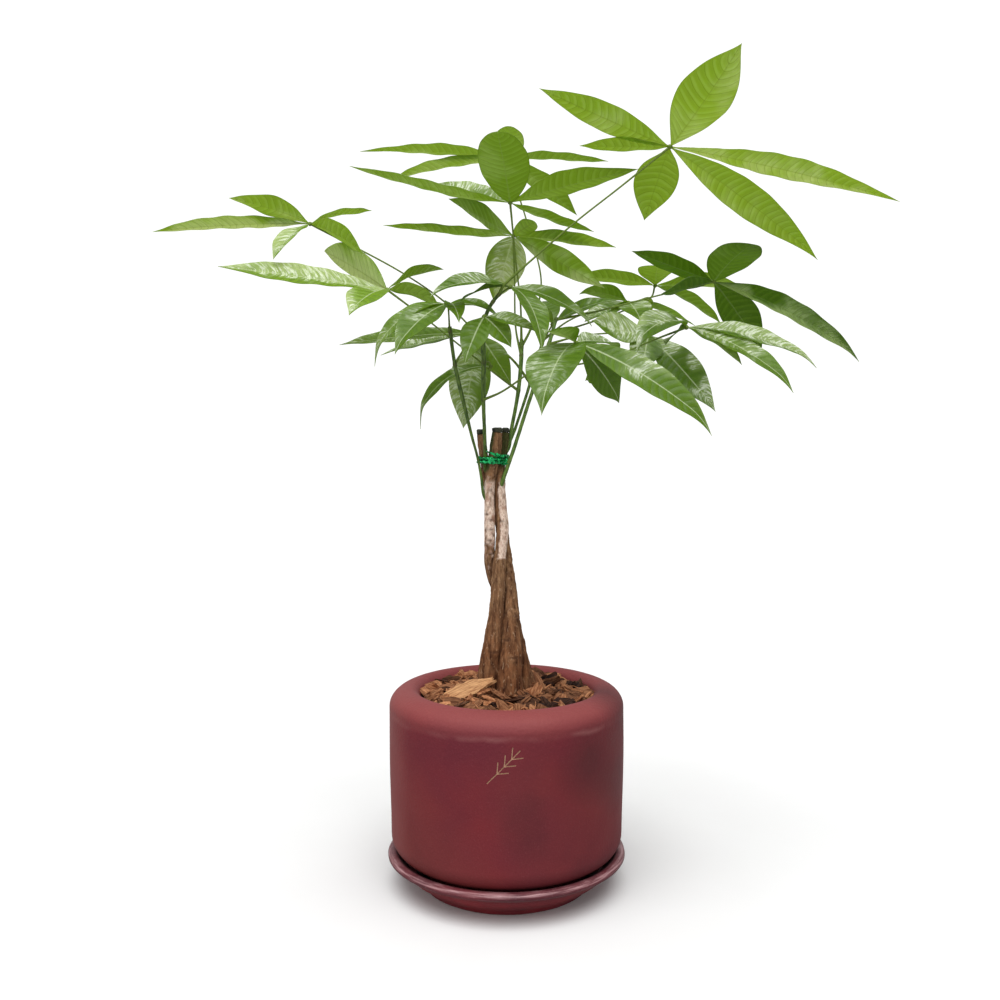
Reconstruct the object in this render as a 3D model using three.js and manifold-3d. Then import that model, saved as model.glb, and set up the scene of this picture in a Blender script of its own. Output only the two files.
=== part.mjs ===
// A money tree: three young trunks braided together, cut off and capped at the top, with five
// green side shoots and eighteen palmate leaves, in a round clay pot that stands in its saucer.
// Millimetres, +Z up. The origin is the middle of the saucer's flat underside. +X is to the
// right of a viewer in front of the plant, and +Y runs away from that viewer.

import * as THREE from 'three';
import { mergeVertices } from 'three/addons/utils/BufferGeometryUtils.js';
import Module from 'manifold-3d';

const wasm = await Module();
wasm.setup();

// Clearance between pieces that touch on the real plant.
const GAP = 0.3;

// The pot: outer radius at the shoulder and lower down, the mouth, and the heights.
const POT_RADIUS = 100;
const POT_LOW_RADIUS = 98;
const MOUTH_RADIUS = 74;
const RIM_TOP = 164.5;
const SHOULDER_WIDTH = 20;
const SHOULDER_HEIGHT = 15;
const LIP_ROUND = 9;
const POT_WALL = 12;
const POT_FLOOR_THICKNESS = 12;
const POT_CORNER_WIDTH = 19;
const POT_CORNER_HEIGHT = 18;
const POT_CORNER_TOP = 43;
const POT_FOOT_RADIUS = 70;
const POT_FOOT_EDGE_WIDTH = 2;
const POT_FOOT_EDGE_HEIGHT = 3;
const POT_BELLY_DROP = 40;
const POT_SIDES = 36;
const FILLING_SIDES = POT_SIDES / 2;
const NECK_FROM = 137.5;
const NECK_TO = 149.5;
// The rounded inner corner of the pot: [inwards from the wall, up from the floor].
const INNER_CORNER = [[22, 0], [6, 9], [0, 22]];

// The saucer: a flat foot, a bowl that flares out, and a rolled lip.
const SAUCER_OUTSIDE = [[72, 0], [73.5, 3], [80, 8], [89, 15]];
const SAUCER_INSIDE = [[89, 18], [80, 10]];
const SAUCER_FLOOR = 10;
const SAUCER_LIP_RADIUS = 96;
const SAUCER_LIP_HEIGHT = 25.3;
const SAUCER_LIP_HALF_WIDTH = 5;
const SAUCER_LIP_HALF_HEIGHT = 3.2;

// The filling: soil up to SOIL_TOP, a bed of bark, and loose bark chips on it.
const SOIL_TOP = 142;
const BARK_BED_TOP = 154.5;
const BARK_HEAP = 4;
const BARK_HEAP_RADIUS = 38;
const BARK_BED_RINGS = [50, 26];
const CHIP_COUNT = 27;
const CHIP_LENGTH = [15, 30];
const CHIP_WIDTH_SHARE = [0.34, 0.6];
const CHIP_THICKNESS = [2.4, 4];
const CHIP_TAPER = [0.4, 1];
const CHIP_TILT = 0.3;
const CHIP_LIFT = 2.5;
// The long pale splinter that leans on the front trunk.
const SPLINTER = {
  centre: [-31, -20, 165.5], size: [46, 13, 3], turn: -0.15, tilt: [-0.33, 0.7], taper: 0.5,
};
const GOLDEN_ANGLE = 2.39996;

// The trunks and the leaves.
const TRUNK_SIDES = 12;
const TRUNK_STEPS = 16;
const CAP_THICKNESS = 4;
const CAP_OVERHANG = 0.4;
const CAP_SIDES = 10;
const SHOOT_SIDES = 6;
const BLADE_THICKNESS = 0.8;
const BLADE_FOLD = 0.24;
const BLADE_WAVE = 0.9;
const STALK_RADII = [1.25, 0.95, 0.95];
const STALK_SIDES = 4;
const STALK_STEPS_PER_POINT = 1.6;
const HUB_RADIUS = 2.4;
const LEAFLET_ROOT = 1.6;
const LEAFLET_NECK_HALF_WIDTH = 0.6;
const LEAFLET_NECK_THICKNESS = 1.2;

// Ways in which the upper side of a leaf or of one leaflet can face.
const SKY = [0, 0.1, 1];
const BACK = [0, 0.72, 0.69];
const TILTED_BACK = [0, 0.42, 0.9];
const TILTED_FRONT = [0, -0.5, 0.86];
const FRONT = [0, -0.9, 0.42];

// A seeded generator, so that the loose chips lie the same way in every build.
function seeded(seed) {
  let state = seed;
  return () => {
    state = (state * 1664525 + 1013904223) % 4294967296;
    return state / 4294967296;
  };
}

// A closed mesh with merged corners, as a solid that can be joined and cut.
function solid(geometry) {
  const bare = geometry.clone();
  bare.deleteAttribute('normal');
  bare.deleteAttribute('uv');
  const merged = mergeVertices(bare, 1e-4);
  const corners = merged.index.array;
  const kept = [];
  for (let i = 0; i < corners.length; i += 3) {
    const [a, b, c] = [corners[i], corners[i + 1], corners[i + 2]];
    if (a !== b && b !== c && c !== a) kept.push(a, b, c);
  }
  return new wasm.Manifold(new wasm.Mesh({
    numProp: 3,
    vertProperties: new Float32Array(merged.attributes.position.array),
    triVerts: new Uint32Array(kept),
  }));
}

function join(solids) {
  return solids.reduce((whole, next) => whole.add(next));
}

// Only the largest body of a solid: crumbs that a cut leaves behind are dropped.
function largestBody(whole) {
  const bodies = whole.decompose();
  return bodies.reduce((best, next) => (next.volume() > best.volume() ? next : best));
}

// A named mesh from a solid.
function piece(name, whole, material) {
  const { numProp, vertProperties, triVerts } = whole.getMesh();
  const geometry = new THREE.BufferGeometry();
  const positions = new Float32Array((vertProperties.length / numProp) * 3);
  for (let i = 0; i * numProp < vertProperties.length; i += 1) {
    positions.set(vertProperties.subarray(i * numProp, i * numProp + 3), i * 3);
  }
  geometry.setAttribute('position', new THREE.BufferAttribute(positions, 3));
  geometry.setIndex(new THREE.BufferAttribute(new Uint32Array(triVerts), 1));
  geometry.computeVertexNormals();
  const mesh = new THREE.Mesh(geometry, material.clone());
  mesh.name = name;
  return mesh;
}

function finish(color, roughness, metalness = 0) {
  return new THREE.MeshStandardMaterial({ color, roughness, metalness });
}

const CLAY = finish('#6d2c33', 0.75);
const SOIL = finish('#2e211a', 0.95);
const BARK_CHIPS = finish('#7a4526', 0.9);
const TRUNK_BARK = finish('#5f4630', 0.9);
const WAX = finish('#1f2a1c', 0.4);
const TINSEL = finish('#0d8a4c', 0.3, 0.7);
const GREEN_SHOOT = finish('#3f6a26', 0.55);
const LEAF = finish('#5d8f2a', 0.45);

// Points on a quarter or half of an ellipse in the profile plane, angles in degrees.
function arc(centreRadius, centreHeight, width, height, from, to, steps) {
  const points = [];
  for (let i = 0; i <= steps; i += 1) {
    const angle = THREE.MathUtils.degToRad(from + ((to - from) * i) / steps);
    points.push([centreRadius + width * Math.cos(angle), centreHeight + height * Math.sin(angle)]);
  }
  return points;
}

// A profile of [radius, height] points turned round the Z axis.
function turned(profile, sides) {
  const points = profile.map(([radius, height]) => new THREE.Vector2(radius, height));
  return solid(new THREE.LatheGeometry(points, sides).rotateX(Math.PI / 2));
}

// A smooth curve through points, with a radius that runs through its own list of values.
function taperedTube(points, radii, sides, steps) {
  const curve = new THREE.CatmullRomCurve3(points.map((p) => new THREE.Vector3(...p)));
  const frames = curve.computeFrenetFrames(steps, false);
  const geometry = new THREE.CylinderGeometry(1, 1, steps, sides, steps);
  const position = geometry.attributes.position;
  const corner = new THREE.Vector3();
  for (let i = 0; i < position.count; i += 1) {
    corner.fromBufferAttribute(position, i);
    const ring = Math.round(corner.y + steps / 2);
    const along = ring / steps;
    const place = along * (radii.length - 1);
    const low = Math.min(Math.floor(place), radii.length - 2);
    const radius = THREE.MathUtils.lerp(radii[low], radii[low + 1], place - low);
    const centre = curve.getPointAt(along);
    centre.addScaledVector(frames.binormals[ring], corner.x * radius);
    centre.addScaledVector(frames.normals[ring], corner.z * radius);
    position.setXYZ(i, centre.x, centre.y, centre.z);
  }
  return solid(geometry);
}

// The same points with both ends moved outwards, for the hole that a stem leaves in its neighbour.
function lengthened(points, extra) {
  const [first, second] = points.slice(0, 2).map((p) => new THREE.Vector3(...p));
  const [last, beforeLast] = [points.at(-1), points.at(-2)].map((p) => new THREE.Vector3(...p));
  first.addScaledVector(first.clone().sub(second).normalize(), extra);
  last.addScaledVector(last.clone().sub(beforeLast).normalize(), extra);
  return [first.toArray(), ...points.slice(1, -1), last.toArray()];
}

// Pot and saucer

// The pot stands on a narrower foot of its own, so that its round corner clears the saucer's lip.
function makePot() {
  const bottom = SAUCER_FLOOR + GAP;
  const shoulderAt = RIM_TOP - SHOULDER_HEIGHT;
  const cornerBottom = POT_CORNER_TOP - POT_CORNER_HEIGHT;
  const profile = [
    [0, bottom],
    [POT_FOOT_RADIUS, bottom],
    [POT_FOOT_RADIUS + POT_FOOT_EDGE_WIDTH, bottom + POT_FOOT_EDGE_HEIGHT],
    [POT_FOOT_RADIUS + POT_FOOT_EDGE_WIDTH, cornerBottom],
    ...arc(POT_LOW_RADIUS - POT_CORNER_WIDTH, POT_CORNER_TOP, POT_CORNER_WIDTH,
      POT_CORNER_HEIGHT, -90, 0, 5),
    [POT_RADIUS, shoulderAt - POT_BELLY_DROP],
    ...arc(POT_RADIUS - SHOULDER_WIDTH, shoulderAt, SHOULDER_WIDTH, SHOULDER_HEIGHT, 0, 80, 5),
    ...arc(MOUTH_RADIUS + LIP_ROUND, RIM_TOP - LIP_ROUND, LIP_ROUND, LIP_ROUND, 100, 180, 3),
    ...cavity(0, bottom + POT_FLOOR_THICKNESS).reverse(),
  ];
  return turned(profile, POT_SIDES);
}

// The inside of the pot, from the floor up to the mouth, drawn in by a clearance.
function cavity(clearance, floor) {
  const radius = POT_LOW_RADIUS - POT_WALL - clearance;
  return [
    [0, floor + clearance],
    ...INNER_CORNER.map(([inwards, up]) => [radius - inwards, floor + up + clearance]),
    [radius, NECK_FROM - clearance],
    [MOUTH_RADIUS - clearance, NECK_TO - clearance],
  ];
}

function makeSaucer() {
  const profile = [
    [0, 0],
    ...SAUCER_OUTSIDE,
    ...arc(SAUCER_LIP_RADIUS, SAUCER_LIP_HEIGHT, SAUCER_LIP_HALF_WIDTH, SAUCER_LIP_HALF_HEIGHT,
      -60, 180, 6),
    ...SAUCER_INSIDE,
    [0, SAUCER_FLOOR],
  ];
  return turned(profile, POT_SIDES);
}

// Trunks: each is a list of points on its middle line, and its radii from the ground up. They
// wind round each other once. The foot of each stands in its own hole in the soil.

const TRUNKS = {
  trunk_front: {
    points: [
      [-15.5, -8, 118], [-15.5, -8, 157], [-15, -8.5, 175], [-12.4, -9.5, 197], [-9.3, -10, 223],
      [-7.3, -9.3, 249], [-5.9, -7, 270], [-3.8, -4.5, 285], [-3.3, -2, 300], [-4.9, 0.3, 316],
      [-6, 1, 338], [-5.4, 2.4, 350], [-2.9, 4.4, 362], [-1.2, 5, 380.5],
    ],
    radii: [9.3, 9.5, 9.3, 8.1, 6.9, 5.8, 5.2, 4.9, 5.1, 4.8, 3.3, 3],
  },
  trunk_middle: {
    points: [
      [1.9, -13, 118], [1.9, -13, 157], [2.7, -12.5, 176], [4, -11.5, 198], [4, -8.5, 222],
      [2.8, -3.5, 243], [1, 2, 262], [-3.6, 6.8, 277], [-9.5, 8.2, 288], [-13.3, 7.8, 301],
      [-15.3, 6.3, 320], [-16.9, 4.5, 340], [-19.4, 2.2, 359], [-22.2, 1, 379],
    ],
    radii: [11, 11.2, 10.9, 9.2, 7.4, 5.5, 5.1, 4.8, 4, 3.5, 3.1, 2.9],
  },
  trunk_rear: {
    points: [
      [15.5, 7, 118], [15.5, 7, 158], [12.7, 6.5, 173], [8.7, 5.5, 194], [5, 6.3, 214],
      [-0.5, 7, 233], [-6.5, 6.3, 245], [-11.5, 3, 257], [-14.6, 0, 270], [-15, -2.3, 285],
      [-14.5, -3, 305], [-14.6, -3, 330], [-13, -3, 347], [-9.8, -3, 362], [-8, -3, 380.5],
    ],
    radii: [9.8, 10, 9.6, 8.2, 6.8, 5.6, 4.6, 4.3, 4.1, 4.4, 4.4, 4.4],
  },
};

function trunk(name, extra = 0) {
  const { points, radii } = TRUNKS[name];
  const grown = radii.map((radius) => radius + extra);
  return taperedTube(lengthened(points, extra), grown, TRUNK_SIDES, TRUNK_STEPS);
}

// Where two trunks press together, the later one is flattened against the earlier one.
const trunkFront = trunk('trunk_front');
const trunkMiddle = largestBody(trunk('trunk_middle').subtract(trunk('trunk_front', GAP)));
const trunkRear = largestBody(trunk('trunk_rear')
  .subtract(trunk('trunk_front', GAP))
  .subtract(trunk('trunk_middle', GAP)));

// A disc of wax on the cut top of a trunk, a little wider than the wood.
function waxCap(name) {
  const { points, radii } = TRUNKS[name];
  const top = new THREE.Vector3(...points.at(-1));
  const below = new THREE.Vector3(...points.at(-2));
  const way = top.clone().sub(below).normalize();
  const radius = radii.at(-1) + CAP_OVERHANG;
  const outline = [
    [0, 0], [radius, 0], [radius, CAP_THICKNESS * 0.6],
    [radius * 0.8, CAP_THICKNESS * 0.95], [0, CAP_THICKNESS],
  ];
  const geometry = new THREE.LatheGeometry(outline.map((point) => new THREE.Vector2(...point)), CAP_SIDES);
  geometry.applyQuaternion(new THREE.Quaternion().setFromUnitVectors(new THREE.Vector3(0, 1, 0), way));
  const seat = top.clone().addScaledVector(way, GAP);
  geometry.translate(seat.x, seat.y, seat.z);
  return solid(geometry);
}

// Soil and bark

function makeSoil() {
  const profile = cavity(GAP, SAUCER_FLOOR + GAP + POT_FLOOR_THICKNESS).slice(0, -1);
  profile.push([cavityRadius(SOIL_TOP) - 2 * GAP, SOIL_TOP], [0, SOIL_TOP]);
  return trunkHoles(turned(profile, FILLING_SIDES));
}

// The inside radius of the pot in its neck, which narrows towards the mouth.
function cavityRadius(height) {
  const share = (height - NECK_FROM) / (NECK_TO - NECK_FROM);
  return THREE.MathUtils.lerp(POT_LOW_RADIUS - POT_WALL, MOUTH_RADIUS, share);
}

function trunkHoles(filling) {
  return Object.keys(TRUNKS).reduce((whole, name) => whole.subtract(trunk(name, GAP)), filling);
}

// The height of the bark bed at a distance from the middle: it is heaped round the trunks.
function barkHeight(radius) {
  return BARK_BED_TOP + BARK_HEAP * Math.exp(-((radius / BARK_HEAP_RADIUS) ** 2));
}

// One chip: a flake that is narrower at one end, turned and tilted where it lies.
function barkChip({ centre, size, turn, tilt, taper }) {
  const [length, width, thickness] = size;
  const geometry = new THREE.BoxGeometry(length, width, thickness);
  const position = geometry.attributes.position;
  for (let i = 0; i < position.count; i += 1) {
    if (position.getX(i) > 0) position.setY(i, position.getY(i) * taper);
  }
  geometry.rotateY(tilt[0]);
  geometry.rotateX(tilt[1]);
  geometry.rotateZ(turn);
  geometry.translate(...centre);
  return solid(geometry);
}

function makeBark() {
  const bedBottom = SOIL_TOP + GAP;
  const profile = [[0, bedBottom], [cavityRadius(bedBottom) - 2 * GAP, bedBottom]];
  profile.push([MOUTH_RADIUS - 2 * GAP, NECK_TO]);
  const rings = [MOUTH_RADIUS - 2 * GAP, ...BARK_BED_RINGS, 0];
  for (const radius of rings) profile.push([radius, barkHeight(radius)]);
  const parts = [turned(profile, FILLING_SIDES), barkChip(SPLINTER)];
  const random = seeded(7);
  const between = (low, high) => low + (high - low) * random();
  for (let i = 0; i < CHIP_COUNT; i += 1) {
    const length = between(...CHIP_LENGTH);
    const width = length * between(...CHIP_WIDTH_SHARE);
    const reach = MOUTH_RADIUS - 2 * GAP - Math.hypot(length, width) / 2;
    const radius = Math.min(MOUTH_RADIUS * Math.sqrt((i + 0.5) / CHIP_COUNT), reach);
    const angle = i * GOLDEN_ANGLE;
    const height = barkHeight(radius) + between(0, CHIP_LIFT);
    parts.push(barkChip({
      centre: [radius * Math.cos(angle), radius * Math.sin(angle), height],
      size: [length, width, between(...CHIP_THICKNESS)],
      turn: between(0, Math.PI),
      tilt: [between(-CHIP_TILT, CHIP_TILT), between(-CHIP_TILT, CHIP_TILT)],
      taper: between(...CHIP_TAPER),
    }));
  }
  return largestBody(trunkHoles(join(parts)));
}

// The tie: a tinsel wire laid twice round the trunks and the left shoot, just under the cuts.

const TIE_WIRE_RADIUS = 1.1;
const TIE_PITCH = 2.7;
const TIE_HEIGHT = 354.5;
const TIE_OUTLINE = [
  [1.2, 3.6], [0, 0.2], [-3, -2.6], [-6, -6.6], [-10.3, -9.2], [-17.5, -8.6], [-21.8, -6],
  [-23.8, 2], [-22.4, 7.2], [-17, 8.2], [-10, 8.6], [-3, 9.2], [0.6, 7.4],
];
const TIE_TURNS = 2;
const TIE_SIDES = 5;
const TIE_STEPS = 44;
const TIE_TOP = TIE_HEIGHT + TIE_PITCH * TIE_TURNS;

// The wire comes in from a loose end, goes round, and leaves with another loose end.
function makeTie() {
  const route = [[1, -13, TIE_HEIGHT], [-2.2, -7.6, TIE_HEIGHT - 0.8]];
  const stops = TIE_OUTLINE.length;
  for (let i = 1; i <= stops * TIE_TURNS + 1; i += 1) {
    const [x, y] = TIE_OUTLINE[i % stops];
    route.push([x, y, TIE_HEIGHT + (TIE_PITCH * i) / stops]);
  }
  route.push([-10, -12.5, TIE_TOP + 2], [-17, -16, TIE_TOP + 5]);
  return taperedTube(route, [TIE_WIRE_RADIUS, TIE_WIRE_RADIUS], TIE_SIDES, TIE_STEPS);
}

// Side shoots: each grows out of a trunk, and carries leaves at its nodes and at its top.

const SHOOTS = {
  shoot_left: {
    points: [
      [-14, -3, 318], [-19.3, -4, 327], [-21.4, -5, 341], [-24.3, -7.6, 358], [-29, -11.5, 376],
      [-34, -16, 397], [-43, -26, 437], [-47, -32, 468],
    ],
    radii: [1.6, 1.1, 1.1, 1.5, 1.8, 1.5, 1.6],
  },
  shoot_middle: {
    points: [
      [-16.5, 3, 345], [-18.6, -2.2, 353], [-18.2, -5.6, 362], [-18.4, -9.5, 374], [-19.4, -19, 408],
      [-19, -28, 440], [-18.6, -36, 471], [-12, -42, 486], [-4, -45, 495],
    ],
    radii: [1.9, 1.6, 1.5, 1.6, 1.9, 2, 2, 1.9, 1.6],
  },
  shoot_right: {
    points: [
      [-2.4, 4.4, 361], [1.8, 5.5, 368], [3.4, 6.8, 379], [6, 8.2, 393], [9, 10, 409],
      [11.4, 12.6, 427], [13, 17, 450], [13, 18, 462],
    ],
    radii: [1.8, 1.7, 1.6, 1.7, 1.8, 1.9, 1.6],
  },
  shoot_back: {
    points: [
      [-3, 6, 361], [-0.6, 9.4, 367], [3, 12, 373], [6.4, 14, 381], [10.2, 16.5, 392],
      [16, 20, 409], [21, 28, 425], [28.5, 41, 450], [34, 46, 466],
    ],
    radii: [1.5, 1.3, 1.3, 1.3, 1.4, 1.4, 1.3],
  },
  shoot_far_right: {
    points: [
      [-5.5, 0.5, 331], [-3.2, -4.6, 340], [-0.4, -5.6, 348], [2.8, -5.3, 357], [6.3, -4, 367],
      [10.2, -1.5, 379], [19.9, 5, 409], [28.6, 14, 434], [37, 21, 458], [44, 28, 482],
    ],
    radii: [1.8, 1.7, 1.6, 1.6, 1.6, 1.7, 1.7, 1.6],
  },
};

function shoot(name, extra = 0) {
  const { points, radii } = SHOOTS[name];
  const grown = radii.map((radius) => radius + extra);
  return taperedTube(lengthened(points, extra), grown, SHOOT_SIDES, points.length * 2);
}

// A shoot is cut where it meets the trunk that it grows from, and the trunks beside it.
function makeShoot(name) {
  return largestBody(trunkHoles(shoot(name)));
}

// Leaves: a stalk, a small hub at its end, and leaflets that spread from the hub like fingers.

// One leaflet's outline: [share of the length, share of the half width].
const POINTED_OUTLINE = [[0, 0], [0.2, 0.5], [0.42, 0.96], [0.65, 0.9], [0.85, 0.44], [1, 0]];
const ROUND_OUTLINE = [[0, 0], [0.17, 0.5], [0.42, 0.96], [0.7, 0.96], [0.9, 0.6], [1, 0.15]];
// Where along a leaflet its midrib bends most, and how far the wave runs on from side to side.
const BEND_AT = 0.45;
const WAVE_TURNS = 9;
const WAVE_FROM = 0.3;
const WAVE_SHIFT = 1.7;

// A leaflet from the hub to its tip. The midrib arches above the straight line by the given
// height, the halves rise from it in a shallow V, and the edges wave a little.
function leaflet(hub, [tip, width, arch, up, outline = POINTED_OUTLINE], phase) {
  const from = new THREE.Vector3(...hub);
  const to = new THREE.Vector3(...tip);
  const chord = to.clone().sub(from).normalize();
  const normal = new THREE.Vector3(...up);
  normal.addScaledVector(chord, -normal.dot(chord)).normalize();
  const side = new THREE.Vector3().crossVectors(chord, normal);
  const bend = from.clone().lerp(to, BEND_AT).addScaledVector(normal, 2 * arch);
  const midrib = new THREE.QuadraticBezierCurve3(from, bend, to);
  const root = LEAFLET_ROOT / from.distanceTo(to);
  const positions = [];
  const index = [];
  outline.forEach(([along, share], row) => {
    const place = row === 0 ? root : along;
    const centre = midrib.getPoint(place);
    const tangent = midrib.getTangent(place);
    const face = normal.clone().addScaledVector(tangent, -normal.dot(tangent)).normalize();
    const half = Math.max((share * width) / 2, LEAFLET_NECK_HALF_WIDTH);
    const thickness = row === 0 ? LEAFLET_NECK_THICKNESS : BLADE_THICKNESS;
    for (const level of [0.5, -0.5]) {
      for (const across of [-1, 0, 1]) {
        const wave = share > WAVE_FROM ? BLADE_WAVE * Math.sin(WAVE_TURNS * along + phase + across) : 0;
        const lift = Math.abs(across) * (BLADE_FOLD * half + wave) + level * thickness;
        const corner = centre.clone().addScaledVector(side, across * half).addScaledVector(face, lift);
        positions.push(corner.x, corner.y, corner.z);
      }
    }
    if (row === 0) return;
    // Corners in a row: 0, 1, 2 across the upper face and 3, 4, 5 across the lower face.
    const [a, b] = [(row - 1) * 6, row * 6];
    for (const i of [0, 1]) {
      index.push(a + i, b + i + 1, b + i, a + i, a + i + 1, b + i + 1);
      index.push(a + 3 + i, b + 3 + i, b + 4 + i, a + 3 + i, b + 4 + i, a + 4 + i);
    }
    index.push(a, b, a + 3, b, b + 3, a + 3);
    index.push(a + 2, a + 5, b + 2, b + 2, a + 5, b + 5);
  });
  const end = (outline.length - 1) * 6;
  for (const i of [0, 1]) {
    index.push(i, i + 3, i + 1, i + 1, i + 3, i + 4);
    index.push(end + i, end + i + 1, end + i + 3, end + i + 1, end + i + 4, end + i + 3);
  }
  const geometry = new THREE.BufferGeometry();
  geometry.setAttribute('position', new THREE.Float32BufferAttribute(positions, 3));
  geometry.setIndex(index);
  return solid(geometry);
}

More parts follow.
